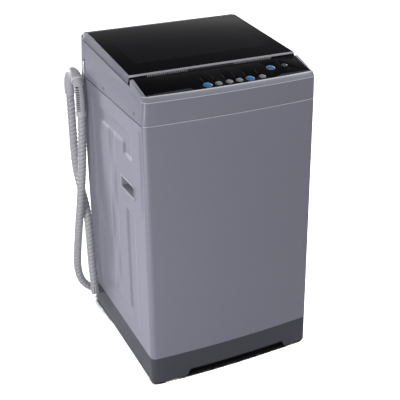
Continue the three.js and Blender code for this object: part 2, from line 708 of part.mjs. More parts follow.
// The gland's flange stands on the rear wall and its neck goes through it.
piece('cord_gland', cut(
  join(
    rodAlongY(GLAND_RADIUS, HALF_DEPTH + GAP, HALF_DEPTH + 9, GLAND_X, GLAND_Z),
    rodAlongY(GLAND_RADIUS - 2, HALF_DEPTH - 10, HALF_DEPTH + 9, GLAND_X, GLAND_Z),
  ),
  rodAlongY(GLAND_RADIUS - 5, HALF_DEPTH - 11, HALF_DEPTH + 10, GLAND_X, GLAND_Z),
), 'rubber');

// ---- Top cover ----

// One upright section of the cover at a width, as depth and height, inset for its hollow.
function coverSection(x, inset) {
  const front = frontY(x, inset);
  const back = backY(x, inset);
  const brow = COVER_Z + BROW_HEIGHT;
  const bottom = inset > 0 ? COVER_Z - 5 : COVER_Z;
  const strip = Math.min(STRIP_FRONT + inset, back - 1);
  const outline = [
    [front, bottom],
    [front - BROW_FLARE, brow - inset / 2],
    [front - BROW_FLARE + BEVEL_DEPTH, brow + BEVEL_HEIGHT - inset],
    [PANEL_REAR - inset, PANEL_Z - inset],
    [RIM_FRONT - inset, PANEL_Z - inset],
    [RIM_FRONT - inset, rimZ(RIM_FRONT - inset) - inset],
    [strip, rimZ(strip) - inset],
    [strip, COVER_Z + STRIP_HEIGHT - inset],
    [back, COVER_Z + STRIP_HEIGHT - inset],
    [back, bottom],
  ];
  return outline.map(([y, z]) => new THREE.Vector3(x - COVER_LEAN * (z - COVER_Z) * (x / HALF_WIDTH), y, z));
}

function coverBody(inset) {
  return loft(stations(inset).map((x) => coverSection(x, inset)), flatYZ);
}

// Depth of the line where the bevel meets the control panel, and the panel's height and slope behind it.
const PANEL_LOW = COVER_Z + BROW_HEIGHT + BEVEL_HEIGHT;

function panelFront(x) {
  return frontY(Math.min(Math.abs(x), CORNER_START)) - BROW_FLARE + BEVEL_DEPTH;
}

function panelZ(x, y) {
  return PANEL_LOW + ((PANEL_Z - PANEL_LOW) * (y - panelFront(x))) / (PANEL_REAR - panelFront(x));
}

const PANEL_SLOPE = Math.atan2(PANEL_Z - PANEL_LOW, PANEL_REAR - panelFront(0));

// A slab in the plane of the panel, between two widths and two depths below its face.
function panelSlab(x0, x1, frontMargin, rear, top, bottom) {
  const across = Array.from({ length: 9 }, (_, i) => x0 + ((x1 - x0) * i) / 8);
  const sections = across.map((x) => {
    const front = panelFront(x) + frontMargin;
    return [
      new THREE.Vector3(x, front, panelZ(x, front) - bottom),
      new THREE.Vector3(x, rear, panelZ(x, rear) - bottom),
      new THREE.Vector3(x, rear, panelZ(x, rear) - top),
      new THREE.Vector3(x, front, panelZ(x, front) - top),
    ];
  });
  return loft(sections, flatYZ);
}

// Upright at a button, tipped to stand square on the panel.
function onPanel({ x, y }) {
  return at(x, y, panelZ(x, y)).multiply(new THREE.Matrix4().makeRotationX(PANEL_SLOPE));
}

function openingPrism(margin, z0, z1) {
  const half = OPENING_WIDTH / 2 + margin;
  const radius = OPENING_RADIUS + margin;
  const outline = roundedRectangle(-half, half, OPENING_FRONT - margin, OPENING_REAR + margin, radius);
  return prism(outline, z0, z1, 6);
}

// The wall under the rim as one slab, to trim the collar and the ears.
function underRim(offset, z0) {
  const across = [-HALF_WIDTH, HALF_WIDTH];
  return loft(across.map((x) => [
    new THREE.Vector3(x, -HALF_DEPTH, z0),
    new THREE.Vector3(x, HALF_DEPTH, z0),
    new THREE.Vector3(x, HALF_DEPTH, rimZ(HALF_DEPTH) + offset),
    new THREE.Vector3(x, -HALF_DEPTH, rimZ(-HALF_DEPTH) + offset),
  ]), flatYZ);
}

// Half-width of the lid at a depth and height, between the cover's side and the lid's top edge.
function lidHalf(y, z) {
  const low = rimZ(y) + LID_RIM_GAP;
  const share = Math.min(Math.max((z - low) / (lidTopZ(y) - low), 0), 1);
  const back = (y - LID_FRONT) / (LID_TOP_REAR - LID_FRONT);
  const top = LID_HALF_FRONT + (LID_HALF_REAR - LID_HALF_FRONT) * back;
  return coverHalf(low) * (1 - share) + top * share;
}

const EAR_OUTER = lidHalf(HINGE_Y, HINGE_Z) - EAR_INSET;
const EAR_INNER = EAR_OUTER - EAR_WIDTH;

function hingeEar(sideX) {
  const xs = [EAR_INNER, EAR_OUTER].map((x) => sideX * x).sort((a, b) => a - b);
  const foot = block(xs, [HINGE_Y - EAR_HALF, HINGE_Y + EAR_HALF], [rimZ(HINGE_Y) - COVER_WALL, HINGE_Z]);
  return join(foot, rodAlongX(EAR_HALF, xs[0], xs[1], HINGE_Y, HINGE_Z));
}

const VALVE_Z = COVER_Z + VALVE_HEIGHT;
const STRAP_Z = COVER_Z + STRAP_SLOT_HEIGHT;
const BACKING_DEPTH = FASCIA_THICKNESS + GAP + COVER_WALL;

function topCover() {
  const shell = cut(coverBody(0), coverBody(COVER_WALL));
  const collarHeight = COVER_Z + COLLAR_DROP;
  const collar = openingPrism(COVER_WALL, collarHeight, COVER_Z + STRIP_HEIGHT);
  const trimmed = collar.intersect(underRim(-COVER_WALL / 2, collarHeight - 2));
  const opening = openingPrism(0, collarHeight - 1, COVER_Z + STRIP_HEIGHT + 30);
  const rear = RIM_FRONT + 10;
  const recess = panelSlab(
    -FASCIA_HALF - GAP, FASCIA_HALF + GAP, FASCIA_FRONT_MARGIN - GAP, rear, -20, FASCIA_THICKNESS + GAP,
  );
  const backing = cut(
    panelSlab(-FASCIA_HALF - COVER_WALL, FASCIA_HALF + COVER_WALL, 1, RIM_FRONT - 1, 1, BACKING_DEPTH),
    recess,
  );
  const stems = BUTTONS.map((button) => rod(STEM_RADIUS + 2 * GAP, -30, 30, onPanel(button), 12));
  const ears = SIDES.map(([, x]) => hingeEar(x));
  const pins = rodAlongX(PIN_RADIUS + GAP, -HALF_WIDTH, HALF_WIDTH, HINGE_Y, HINGE_Z);
  const valve = rodAlongY(VALVE_RADIUS + GAP, STRIP_FRONT, HALF_DEPTH + 1, VALVE_X, VALVE_Z);
  const slot = block(
    [-HALF_WIDTH - 1, -coverHalf(STRAP_Z) + 2 * COVER_WALL],
    [BAND_Y - STRAP_SLOT_HALF, BAND_Y + STRAP_SLOT_HALF],
    [STRAP_Z - GAP, STRAP_Z + 2 * STRAP_SLOT_HALF],
  );
  return cut(join(cut(shell, recess), backing, trimmed, ...ears), opening, pins, valve, slot, ...stems);
}

piece('top_cover', topCover(), 'coverPlastic');

piece('control_fascia', cut(
  panelSlab(-FASCIA_HALF, FASCIA_HALF, FASCIA_FRONT_MARGIN, RIM_FRONT, 0, FASCIA_THICKNESS),
  ...BUTTONS.map((button) => rod(button.radius + GAP, -30, 30, onPanel(button))),
), 'blackPlastic');

// ---- Buttons and the board that they press ----

const STEM_LENGTH = BACKING_DEPTH + BOARD_LIFT;

for (const button of BUTTONS) {
  const { name, radius, tone } = button;
  const profile = [
    [0, -STEM_LENGTH], [STEM_RADIUS, -STEM_LENGTH], [STEM_RADIUS, 1 - FASCIA_THICKNESS],
    [radius, 1 - FASCIA_THICKNESS], [radius, CROWN_HEIGHT * 0.4], [radius * 0.75, CROWN_HEIGHT * 0.85],
    [0, CROWN_HEIGHT],
  ];
  piece(name, turned(profile, 16, onPanel(button)), tone);
}

// An open tray under the panel, with the circuit board in its floor.
const BUTTON_XS = BUTTONS.map((button) => button.x);
const TRAY_LEFT = Math.min(...BUTTON_XS) - TRAY_MARGIN;
const TRAY_RIGHT = Math.max(...BUTTON_XS) + TRAY_MARGIN;
const TRAY_DEPTH = STEM_LENGTH + BUTTON_TRAVEL + RUNNING;
piece('control_board', cut(
  panelSlab(
    TRAY_LEFT, TRAY_RIGHT, FASCIA_FRONT_MARGIN, PANEL_REAR - 2 * COVER_WALL,
    BACKING_DEPTH + GAP, TRAY_DEPTH + COVER_WALL,
  ),
  panelSlab(
    TRAY_LEFT + COVER_WALL, TRAY_RIGHT - COVER_WALL,
    FASCIA_FRONT_MARGIN + COVER_WALL, PANEL_REAR - 3 * COVER_WALL, 0, TRAY_DEPTH,
  ),
), 'board');

// ---- Lid ----

const LID_REAR = HINGE_Y + HINGE_ROUND;

// Heights of the lid's top and underside at a depth; behind its flat top it rounds down over the hinge.
function lidHeights(y) {
  const past = Math.max(y - HINGE_Y, 0);
  const round = Math.sqrt(Math.max(HINGE_ROUND ** 2 - past ** 2, 0));
  const shoulder = Math.min(Math.max((y - LID_TOP_REAR) / (HINGE_Y - LID_TOP_REAR), 0), 1);
  const top = lidTopZ(Math.min(y, LID_TOP_REAR)) * (1 - shoulder) + (HINGE_Z + round) * shoulder;
  const under = y > HINGE_Y ? HINGE_Z - round : rimZ(y) + LID_RIM_GAP;
  return [under, top];
}

// A layer of the lid between two depths below its top, inset from its sides; the body goes down to the rim.
function lidLayer(depths, inset, lowDrop, highDrop) {
  return loft(depths.map((y) => {
    const [under, top] = lidHeights(y);
    const low = lowDrop === undefined ? under : top - lowDrop;
    const high = top - highDrop;
    const wide = lidHalf(y, low) - inset;
    const narrow = lidHalf(y, high) - inset;
    return [
      new THREE.Vector3(-wide, y, low),
      new THREE.Vector3(wide, y, low),
      new THREE.Vector3(narrow, y, high),
      new THREE.Vector3(-narrow, y, high),
    ];
  }), flatXZ);
}

const LID_ROUND_DEPTHS = [0.3, 0.6, 0.85, 0.97].map((share) => HINGE_Y + share * HINGE_ROUND);
const SKIRT_AT_HINGE = lidHalf(HINGE_Y, HINGE_Z);

function lidFrame() {
  const body = lidLayer([LID_FRONT, LID_TOP_REAR, HINGE_Y, ...LID_ROUND_DEPTHS], 0, undefined, 0);
  const barFront = HINGE_Y - HINGE_ROUND;
  const hollow = lidLayer(
    [LID_FRONT + LID_WALL, LID_TOP_REAR, barFront],
    LID_WALL,
    2 * LID_SKIRT,
    GLASS_THICKNESS + LID_WALL,
  );
  const rebateDrop = GLASS_THICKNESS + GAP;
  const rebate = lidLayer([LID_FRONT + LIP_DEPTH, LID_TOP_REAR], GLASS_MARGIN, rebateDrop, -LID_SKIRT);
  const window = block(
    [-LID_WINDOW_HALF, LID_WINDOW_HALF],
    [LID_WINDOW_FRONT, LID_WINDOW_REAR],
    [LID_TOP_Z - LID_SKIRT, LID_TOP_Z + 2 * LID_SKIRT],
  );
  const notches = SIDES.map(([, x]) => block(
    span(x * (EAR_INNER - EAR_PLAY), x * (EAR_OUTER + EAR_PLAY)),
    [barFront - 1, LID_REAR + 1],
    [HINGE_Z - 2 * LID_SKIRT, HINGE_Z + EAR_HALF + EAR_PLAY],
  ));
  const pinEnd = SKIRT_AT_HINGE - LID_WALL + GAP;
  const pinHole = rodAlongX(PIN_RADIUS + GAP, -pinEnd, pinEnd, HINGE_Y, HINGE_Z);
  const holes = pinHole.subtract(block(
    [-EAR_INNER, EAR_INNER],
    [HINGE_Y - LID_SKIRT, HINGE_Y + LID_SKIRT],
    [HINGE_Z - LID_SKIRT, HINGE_Z + LID_SKIRT],
  ));
  return cut(body, hollow, rebate, window, ...notches, holes);
}

piece('lid_frame', lidFrame(), 'greyPlastic');

piece('lid_glass', lidLayer(
  [LID_FRONT + LIP_DEPTH + GAP, LID_TOP_REAR - GAP],
  GLASS_MARGIN + GAP,
  GLASS_THICKNESS,
  0,
), 'blackGlass');

for (const [side, sideX] of SIDES) {
  const ends = span(sideX * (EAR_INNER + GAP), sideX * (SKIRT_AT_HINGE - LID_WALL));
  piece(`hinge_pin_${side}`, rodAlongX(PIN_RADIUS, ends[0], ends[1], HINGE_Y, HINGE_Z), 'steel');
}

// The magnet in the lid's front edge, and the switch under the rim that it closes.
const MAGNET = [MAGNET_X - MAGNET_WIDTH / 2, MAGNET_X + MAGNET_WIDTH / 2];
const MAGNET_FRONT = LID_FRONT + LID_WALL + GAP;
piece('lid_magnet', block(
  MAGNET,
  [MAGNET_FRONT, MAGNET_FRONT + MAGNET_THICKNESS],
  [rimZ(MAGNET_FRONT) + 2 * LID_RIM_GAP, rimZ(MAGNET_FRONT) + 2 * LID_RIM_GAP + MAGNET_HEIGHT],
), 'steel');
const SWITCH_TOP = rimZ(MAGNET_FRONT) - COVER_WALL - GAP;
piece('lid_switch', block(
  MAGNET,
  [MAGNET_FRONT, MAGNET_FRONT + SWITCH_DEPTH],
  [SWITCH_TOP - SWITCH_HEIGHT, SWITCH_TOP],
), 'blackPlastic');

// ---- Water fittings under the cover ----

const SPOUT_FRONT = OPENING_REAR + COVER_WALL + GAP;
const SPOUT_TOP = rimZ(SPOUT_FRONT) - COVER_WALL - GAP;
const SPOUT_UNDER = SPOUT_TOP - SPOUT_HEIGHT;
piece('water_spout', cut(
  block([-SPOUT_HALF, SPOUT_HALF], [SPOUT_FRONT, SPOUT_FRONT + SPOUT_DEPTH], [SPOUT_UNDER, SPOUT_TOP]),
  block(
    [-SPOUT_HALF + SPOUT_WALL, SPOUT_HALF - SPOUT_WALL],
    [SPOUT_FRONT - 1, SPOUT_FRONT + SPOUT_DEPTH - SPOUT_WALL],
    [SPOUT_UNDER + SPOUT_WALL, SPOUT_TOP - SPOUT_WALL],
  ),
), 'whitePlastic');

const VALVE_BODY_REAR = HALF_DEPTH - COVER_WALL - GAP;
const VALVE_PIPE_Y = SPOUT_FRONT + SPOUT_DEPTH / 2;
const VALVE_PIPE_Z = SPOUT_UNDER + SPOUT_HEIGHT / 2;
piece('inlet_valve', join(
  rodAlongY(VALVE_RADIUS, VALVE_BODY_REAR - VALVE_FLANGE, FRONT_REACH, VALVE_X, VALVE_Z),
  rodAlongY(VALVE_RADIUS + VALVE_FLANGE, VALVE_BODY_REAR - VALVE_FLANGE, VALVE_BODY_REAR, VALVE_X, VALVE_Z),
  block(
    [VALVE_X - VALVE_BODY / 2, VALVE_X + VALVE_BODY / 2],
    [VALVE_PIPE_Y - VALVE_PIPE_RADIUS - SPOUT_WALL, VALVE_BODY_REAR - VALVE_FLANGE / 2],
    [VALVE_Z - VALVE_RADIUS, VALVE_PIPE_Z + VALVE_PIPE_RADIUS + SPOUT_WALL],
  ),
  rodAlongX(VALVE_PIPE_RADIUS, SPOUT_HALF + GAP, VALVE_X, VALVE_PIPE_Y, VALVE_PIPE_Z),
), 'whitePlastic');

const SENSOR_TOP = rimZ(SENSOR_Y) - COVER_WALL - GAP;
piece('level_sensor', block(
  [OPENING_WIDTH / 2 + 2 * COVER_WALL, OPENING_WIDTH / 2 + 2 * COVER_WALL + SENSOR_WIDTH],
  [SENSOR_Y, SENSOR_Y + SENSOR_LENGTH],
  [SENSOR_TOP - SENSOR_HEIGHT, SENSOR_TOP],
), 'blackPlastic');

// ---- Suspension ----

// A coil spring's centre line between two heights.
class Coil extends THREE.Curve {
  constructor(radius, z0, z1, turns) {
    super();
    Object.assign(this, { radius, z0, z1, turns });
  }

  getPoint(t, target = new THREE.Vector3()) {
    const angle = 2 * Math.PI * this.turns * t;
    const z = this.z0 + (this.z1 - this.z0) * t;
    return target.set(this.radius * Math.cos(angle), this.radius * Math.sin(angle), z);
  }
}

const SPRING_UNDER = SEAT_Z + GAP;
const SPRING_TOP = SPRING_UNDER + SPRING_LENGTH;
const SPRING_INSET = WIRE_RADIUS + 0.2;

for (const [end, sideY] of ENDS) {
  for (const [side, sideX] of SIDES) {
    const place = at(sideX * ROD_X, sideY * ROD_Y);
    const headZ = GUSSET_Z + GUSSET_THICKNESS + GAP;
    piece(`hanger_rod_${end}_${side}`, turned([
      [0, SEAT_Z - CAP_HEIGHT], [CAP_RADIUS, SEAT_Z - CAP_HEIGHT], [CAP_RADIUS, SEAT_Z],
      [ROD_RADIUS, SEAT_Z], [ROD_RADIUS, headZ],
      [HEAD_RADIUS, headZ], [HEAD_RADIUS, headZ + HEAD_HEIGHT / 2], [0, headZ + HEAD_HEIGHT],
    ], 12, place), 'galvanised');
    const ends = [SPRING_UNDER + SPRING_INSET, SPRING_TOP - SPRING_INSET];
    const coil = new Coil(SPRING_RADIUS, ...ends, SPRING_TURNS);
    const wire = tube(coil, WIRE_RADIUS, 8 * SPRING_TURNS, 4);
    piece(`hanger_spring_${end}_${side}`, wire.translate(sideX * ROD_X, sideY * ROD_Y, 0), 'steel');
  }
}

// ---- Tub ----

const ON_AXIS = at(0, TUB_Y);
const TUB_BORE = TUB_RADIUS - TUB_WALL;

// An arm in plan from the tub's wall out past one hanger rod.
function lugShape(sideX, sideY) {
  const rodPoint = new THREE.Vector2(sideX * ROD_X, sideY * ROD_Y);
  const along = rodPoint.clone().sub(new THREE.Vector2(0, TUB_Y)).normalize();
  const across = new THREE.Vector2(-along.y, along.x).multiplyScalar(LUG_WIDTH / 2);
  const inner = new THREE.Vector2(0, TUB_Y).addScaledVector(along, TUB_BORE - TUB_WALL);
  const outer = rodPoint.addScaledVector(along, LUG_WIDTH / 2);
  const corner = (point, side) => point.clone().addScaledVector(across, side);
  return new THREE.Shape([corner(inner, -1), corner(outer, -1), corner(outer, 1), corner(inner, 1)]);
}

function outerTub() {
  const wall = turned([
    [NECK_RADIUS, TUB_UNDER], [TUB_RADIUS - TUB_ROUND, TUB_UNDER], [TUB_RADIUS, TUB_UNDER + TUB_ROUND],
    [TUB_RADIUS, TUB_TOP], [TUB_BORE, TUB_TOP],
    [TUB_BORE, TUB_FLOOR + TUB_ROUND], [TUB_BORE - TUB_ROUND, TUB_FLOOR], [NECK_RADIUS, TUB_FLOOR],
  ], 36, ON_AXIS);
  const lugTop = LUG_Z + LUG_THICKNESS;
  const arms = SIDES.flatMap(([, x]) => ENDS.map(([, y]) => prism(lugShape(x, y), LUG_Z, lugTop)));
  const inside = rod(TUB_BORE, LUG_Z - 1, lugTop + 1, ON_AXIS, 36);
  const holes = SIDES.flatMap(([, x]) => ENDS.map(([, y]) => (
    rod(ROD_RADIUS + 2 * GAP, LUG_Z - 1, lugTop + 1, at(x * ROD_X, y * ROD_Y), 12)
  )));
  const port = rod(PORT_RADIUS, PORT_Z, TUB_UNDER + 1, at(PUMP_X, PUMP_Y));
  const bore = rod(PORT_RADIUS - PORT_WALL, PORT_Z - 1, TUB_FLOOR + 1, at(PUMP_X, PUMP_Y));
  return cut(join(wall, port, ...arms.map((arm) => cut(arm, inside))), bore, ...holes);
}

piece('outer_tub', outerTub(), 'whitePlastic');

const RING_UNDER = TUB_TOP + GAP;
piece('tub_ring', turned([
  [RING_BORE, RING_UNDER], [TUB_RADIUS + GAP, RING_UNDER], [TUB_RADIUS + GAP, RING_UNDER - RING_SKIRT],
  [TUB_RADIUS + TUB_WALL, RING_UNDER - RING_SKIRT], [TUB_RADIUS + TUB_WALL, RING_UNDER + RING_THICKNESS],
  [RING_BORE, RING_UNDER + RING_THICKNESS],
], 36, ON_AXIS), 'whitePlastic');

piece('tub_seal', turned([
  [HUB_RADIUS + RUNNING, TUB_UNDER + GAP], [NECK_RADIUS - GAP, TUB_UNDER + GAP],
  [NECK_RADIUS - GAP, TUB_FLOOR + GAP], [NECK_RADIUS + 6, TUB_FLOOR + GAP],
  [NECK_RADIUS + 6, TUB_FLOOR + 4], [HUB_RADIUS + RUNNING, TUB_FLOOR + 6],
], 24, ON_AXIS), 'rubber');

// ---- Basket ----

const FILTER_Z = BASKET_FLOOR + 0.45 * (BASKET_TOP - BASKET_FLOOR);

// The filter's slot and body are upright slabs across the basket's wall, at its back.
function filterSlab(margin, y0, y1) {
  const half = FILTER_WIDTH / 2 + margin;
  const tall = FILTER_HEIGHT / 2 + margin;
  return block([-half, half], [TUB_Y + y0, TUB_Y + y1], [FILTER_Z - tall, FILTER_Z + tall]);
}

const FILTER_CHORD = Math.sqrt(BASKET_BORE ** 2 - (FILTER_WIDTH / 2) ** 2);

piece('basket', cut(
  turned([
    [HUB_RADIUS + 1, BASKET_UNDER], [BASKET_RADIUS - BASKET_ROUND, BASKET_UNDER],
    [BASKET_RADIUS, BASKET_UNDER + BASKET_ROUND], [BASKET_RADIUS, BASKET_TOP], [BASKET_BORE, BASKET_TOP],
    [BASKET_BORE, BASKET_FLOOR + BASKET_ROUND], [BASKET_BORE - BASKET_ROUND, BASKET_FLOOR],
    [HUB_RADIUS + 1, BASKET_FLOOR],
  ], 36, ON_AXIS),
  filterSlab(GAP, FILTER_CHORD - FILTER_DEPTH, BASKET_RADIUS + 1),
), 'steel');

piece('balance_ring', turned([
  [BASKET_RADIUS - BALANCE_WIDTH, BASKET_TOP + GAP + 6], [BASKET_BORE - 2, BASKET_TOP + GAP],
  [BASKET_RADIUS + 2, BASKET_TOP + GAP], [BASKET_RADIUS + 2, BALANCE_TOP - 4],
  [BASKET_RADIUS - 3, BALANCE_TOP], [BASKET_RADIUS - BALANCE_WIDTH + 4, BALANCE_TOP],
  [BASKET_RADIUS - BALANCE_WIDTH, BALANCE_TOP - 6],
], 36, ON_AXIS), 'whitePlastic');

// The drive flange under the basket, on the hollow spin shaft.
piece('basket_hub', turned([
  [SHAFT_RADIUS + RUNNING, HUB_BOTTOM], [HUB_RADIUS, HUB_BOTTOM],
  [HUB_RADIUS, BASKET_UNDER - 2 * HUB_FLANGE_THICKNESS], [HUB_FLANGE, BASKET_UNDER - HUB_FLANGE_THICKNESS],
  [HUB_FLANGE, BASKET_UNDER - GAP], [HUB_RADIUS, BASKET_UNDER - GAP],
  [HUB_RADIUS, BASKET_FLOOR], [SHAFT_RADIUS + RUNNING, BASKET_FLOOR],
], 24, ON_AXIS), 'castAluminium');

const filterBody = cut(
  filterSlab(0, FILTER_CHORD - FILTER_DEPTH, BASKET_RADIUS - BASKET_WALL / 2),
  filterSlab(-4, FILTER_CHORD - FILTER_DEPTH + 3, BASKET_RADIUS + 1),
);
piece('lint_filter', filterBody, 'whitePlastic');

// ---- Pulsator ----

function pulsator() {
  const under = PULSATOR_UNDER;
  const dish = turned([
    [0, SHAFT_TOP + GAP], [SHAFT_RADIUS + GAP, SHAFT_TOP + GAP], [SHAFT_RADIUS + GAP, under],
    [PULSATOR_BOSS, under], [PULSATOR_RADIUS - PULSATOR_EDGE, under + PULSATOR_EDGE / 4],
    [PULSATOR_RADIUS, under + PULSATOR_EDGE], [PULSATOR_RADIUS - PULSATOR_EDGE / 2, under + PULSATOR_DISC],
    [2 * PULSATOR_BOSS, under + PULSATOR_DISC], [PULSATOR_BOSS, under + PULSATOR_HEIGHT - PULSATOR_EDGE / 2],
    [0, under + PULSATOR_HEIGHT],
  ], 32, ON_AXIS);
  const vanes = Array.from({ length: VANE_COUNT }, (_, i) => {
    const vane = new THREE.Shape();
    vane.moveTo(PULSATOR_BOSS / 2, -VANE_WIDTH / 2);
    vane.lineTo(PULSATOR_RADIUS - VANE_HEIGHT, -VANE_WIDTH / 4);
    vane.lineTo(PULSATOR_RADIUS - VANE_HEIGHT, VANE_WIDTH / 4);
    vane.lineTo(PULSATOR_BOSS / 2, VANE_WIDTH / 2);
    const geometry = new THREE.ExtrudeGeometry(vane, { depth: VANE_HEIGHT, bevelEnabled: false });
    geometry.translate(0, 0, under + PULSATOR_EDGE / 2);
    geometry.rotateZ((2 * Math.PI * i) / VANE_COUNT);
    geometry.applyMatrix4(ON_AXIS);
    return solid(geometry);
  });
  return join(dish, ...vanes);
}

piece('pulsator', pulsator(), 'whitePlastic');
piece('wash_shaft', rod(SHAFT_RADIUS, SHAFT_BOTTOM, SHAFT_TOP, ON_AXIS), 'steel');

// ---- Drive under the tub ----

const MOTOR_X = MOTOR_OFFSET;
const ON_MOTOR = at(MOTOR_X, TUB_Y);

piece('drive_support', cut(
  block(
    [-SUPPORT_LENGTH / 2, SUPPORT_LENGTH / 2 + MOTOR_RADIUS],
    [TUB_Y - SUPPORT_WIDTH / 2, TUB_Y + SUPPORT_WIDTH / 2],
    [SUPPORT_UNDER, SUPPORT_TOP],
  ),
  rod(NECK_RADIUS + GAP, SUPPORT_UNDER - 1, SUPPORT_TOP + 1, ON_AXIS, 24),
  rod(PORT_RADIUS + 6, SUPPORT_UNDER - 1, SUPPORT_TOP + 1, at(PUMP_X, PUMP_Y)),
), 'galvanised');

piece('gearbox', turned([
  [SHAFT_RADIUS + RUNNING, GEARBOX_UNDER], [GEARBOX_RADIUS - 8, GEARBOX_UNDER],
  [GEARBOX_RADIUS, GEARBOX_UNDER + 12], [GEARBOX_RADIUS, GEARBOX_TOP],
  [NECK_RADIUS, GEARBOX_TOP], [NECK_RADIUS, SUPPORT_TOP],
  [HUB_RADIUS + RUNNING, SUPPORT_TOP], [HUB_RADIUS + RUNNING, HUB_BOTTOM - 4],
  [SHAFT_RADIUS + RUNNING, HUB_BOTTOM - 4],
], 24, ON_AXIS), 'castAluminium');

piece('drive_motor', turned([
  [MOTOR_SHAFT_RADIUS + RUNNING, MOTOR_UNDER], [MOTOR_RADIUS - 10, MOTOR_UNDER],
  [MOTOR_RADIUS, MOTOR_UNDER + 14], [MOTOR_RADIUS, GEARBOX_TOP],
  [MOTOR_SHAFT_RADIUS + RUNNING, GEARBOX_TOP],
], 24, ON_MOTOR), 'castAluminium');

// A grooved pulley with its shaft going up into what it drives or is driven by.
function pulley(radius, shaftRadius, shaftTop, place) {
  const groove = radius - BELT_DEPTH;
  return turned([
    [0, PULLEY_UNDER], [radius, PULLEY_UNDER], [radius, PULLEY_UNDER + PULLEY_FLANGE],
    [groove, PULLEY_UNDER + PULLEY_FLANGE + 2], [groove, PULLEY_TOP - PULLEY_FLANGE - 2],
    [radius, PULLEY_TOP - PULLEY_FLANGE], [radius, PULLEY_TOP],
    [shaftRadius, PULLEY_TOP], [shaftRadius, shaftTop], [0, shaftTop],
  ], 24, place);
}

piece('driven_pulley', pulley(DRIVEN_RADIUS, SHAFT_RADIUS, INPUT_TOP, ON_AXIS), 'castAluminium');
const ROTOR_TOP = GEARBOX_TOP - 10;
piece('motor_pulley', pulley(DRIVING_RADIUS, MOTOR_SHAFT_RADIUS, ROTOR_TOP, ON_MOTOR), 'castAluminium');

// The belt's outline round both pulleys, standing a clearance off their grooves.
function beltOutline(offset) {
  const big = DRIVEN_RADIUS - BELT_DEPTH + offset;
  const small = DRIVING_RADIUS - BELT_DEPTH + offset;
  const lead = Math.acos((big - small) / MOTOR_OFFSET);
  const shape = new THREE.Shape();
  shape.absarc(0, TUB_Y, big, lead, 2 * Math.PI - lead, false);
  shape.absarc(MOTOR_X, TUB_Y, small, -lead, lead, false);
  return shape;
}

const BELT_UNDER = PULLEY_UNDER + PULLEY_FLANGE + 3;
const BELT_TOP = PULLEY_TOP - PULLEY_FLANGE - 3;
piece('drive_belt', cut(
  prism(beltOutline(BELT_DEPTH - 1), BELT_UNDER, BELT_TOP, 16),
  prism(beltOutline(2 * GAP), BELT_UNDER - 1, BELT_TOP + 1, 16),
), 'rubber');

// ---- Drain ----

piece('drain_pump', cut(
  join(
    turned([
      [0, PUMP_UNDER], [PUMP_RADIUS, PUMP_UNDER], [PUMP_RADIUS, PUMP_TOP - 6], [PUMP_RADIUS - 6, PUMP_TOP],
      [PORT_RADIUS, PUMP_TOP], [PORT_RADIUS, PUMP_INLET], [PORT_RADIUS - PORT_WALL, PUMP_INLET],
      [PORT_RADIUS - PORT_WALL, PUMP_TOP - 10], [0, PUMP_TOP - 10],
    ], 20, at(PUMP_X, PUMP_Y)),
    rodAlongY(PUMP_PIPE_RADIUS, PUMP_Y, HALF_DEPTH, PIPE_X, PIPE_Z),
  ),
  rodAlongY(PUMP_PIPE_RADIUS - 2, PUMP_Y + PUMP_RADIUS, HALF_DEPTH + 1, PIPE_X, PIPE_Z),
), 'whitePlastic');

// Bellows between the pump's inlet and the tub's port; they take up the tub's movement.
function bellows() {
  const under = PUMP_INLET + GAP;
  const top = PORT_Z - GAP;
  const wave = (top - under) / (2 * BELLOWS_WAVES);
  const outside = Array.from({ length: 2 * BELLOWS_WAVES + 1 }, (_, i) => (
    [PORT_RADIUS + (i % 2 ? 6 : 0), under + i * wave]
  ));
  const inside = outside.map(([radius, z]) => [radius - PORT_WALL, z]).reverse();
  return turned([...outside, ...inside], 16, at(PUMP_X, PUMP_Y));
}

piece('drain_bellows', bellows(), 'rubber');

// The hose leaves low behind the base, climbs beside the cabinet, turns over in its hook, crosses behind
// itself and hangs with its free end near the floor.
const CLIMB = [
  [-196, 282, 25], [-218, 282, 25], [-250, 283, 31], [-278, 284, 50], [-296, 286, 78], [-303, 288, 110],
  [-304, 288, 150], [-302, 280, 200], [-302, 262, 250], [-302, 244, 300], [-299.5, 232, 350],
  [-292, 226, 425], [-285, 219, 511], [-280, 214, 600], [ARCH_LEFT, 207, HOOK_FRONT_END],
];
const ARCH = [0, 30, 60, 90, 120, 150, 180].map((degrees) => {
  const angle = THREE.MathUtils.degToRad(degrees);
  const x = ARCH_LEFT - (ARCH_DRIFT * degrees) / 180;
  return [x, ARCH_Y - ARCH_RADIUS * Math.cos(angle), ARCH_Z + ARCH_RADIUS * Math.sin(angle)];
});
const FALL = [
  [-283, 298, ARCH_Z - 67], [-283, 299, 620], [-283, 299, 540], [-281, 297, 480], [-277, 284, 428],
  [-273.5, 262, 388], [-272.5, 243, 348], [-272.5, 233, 300], [-272.5, 230, 240],
  [-272.5, 227, 180], [-273, 219, 125], [-273, 213, 84],
];
const HOSE_ROUTE = [...CLIMB, ...ARCH, ...FALL].map(([x, y, z]) => new THREE.Vector3(x, y, z));
const HOSE_PATH = new THREE.CatmullRomCurve3(HOSE_ROUTE);
HOSE_PATH.arcLengthDivisions = 1200;

piece('drain_hose', tube(HOSE_PATH, HOSE_RADIUS, HOSE_STEPS, HOSE_SIDES), 'hose');

// A short pipe of a given bore along a curve.
function pipe(curve, radius, bore, steps) {
  return cut(tube(curve, radius, steps, 12), tube(curve, bore, steps, 12));
}

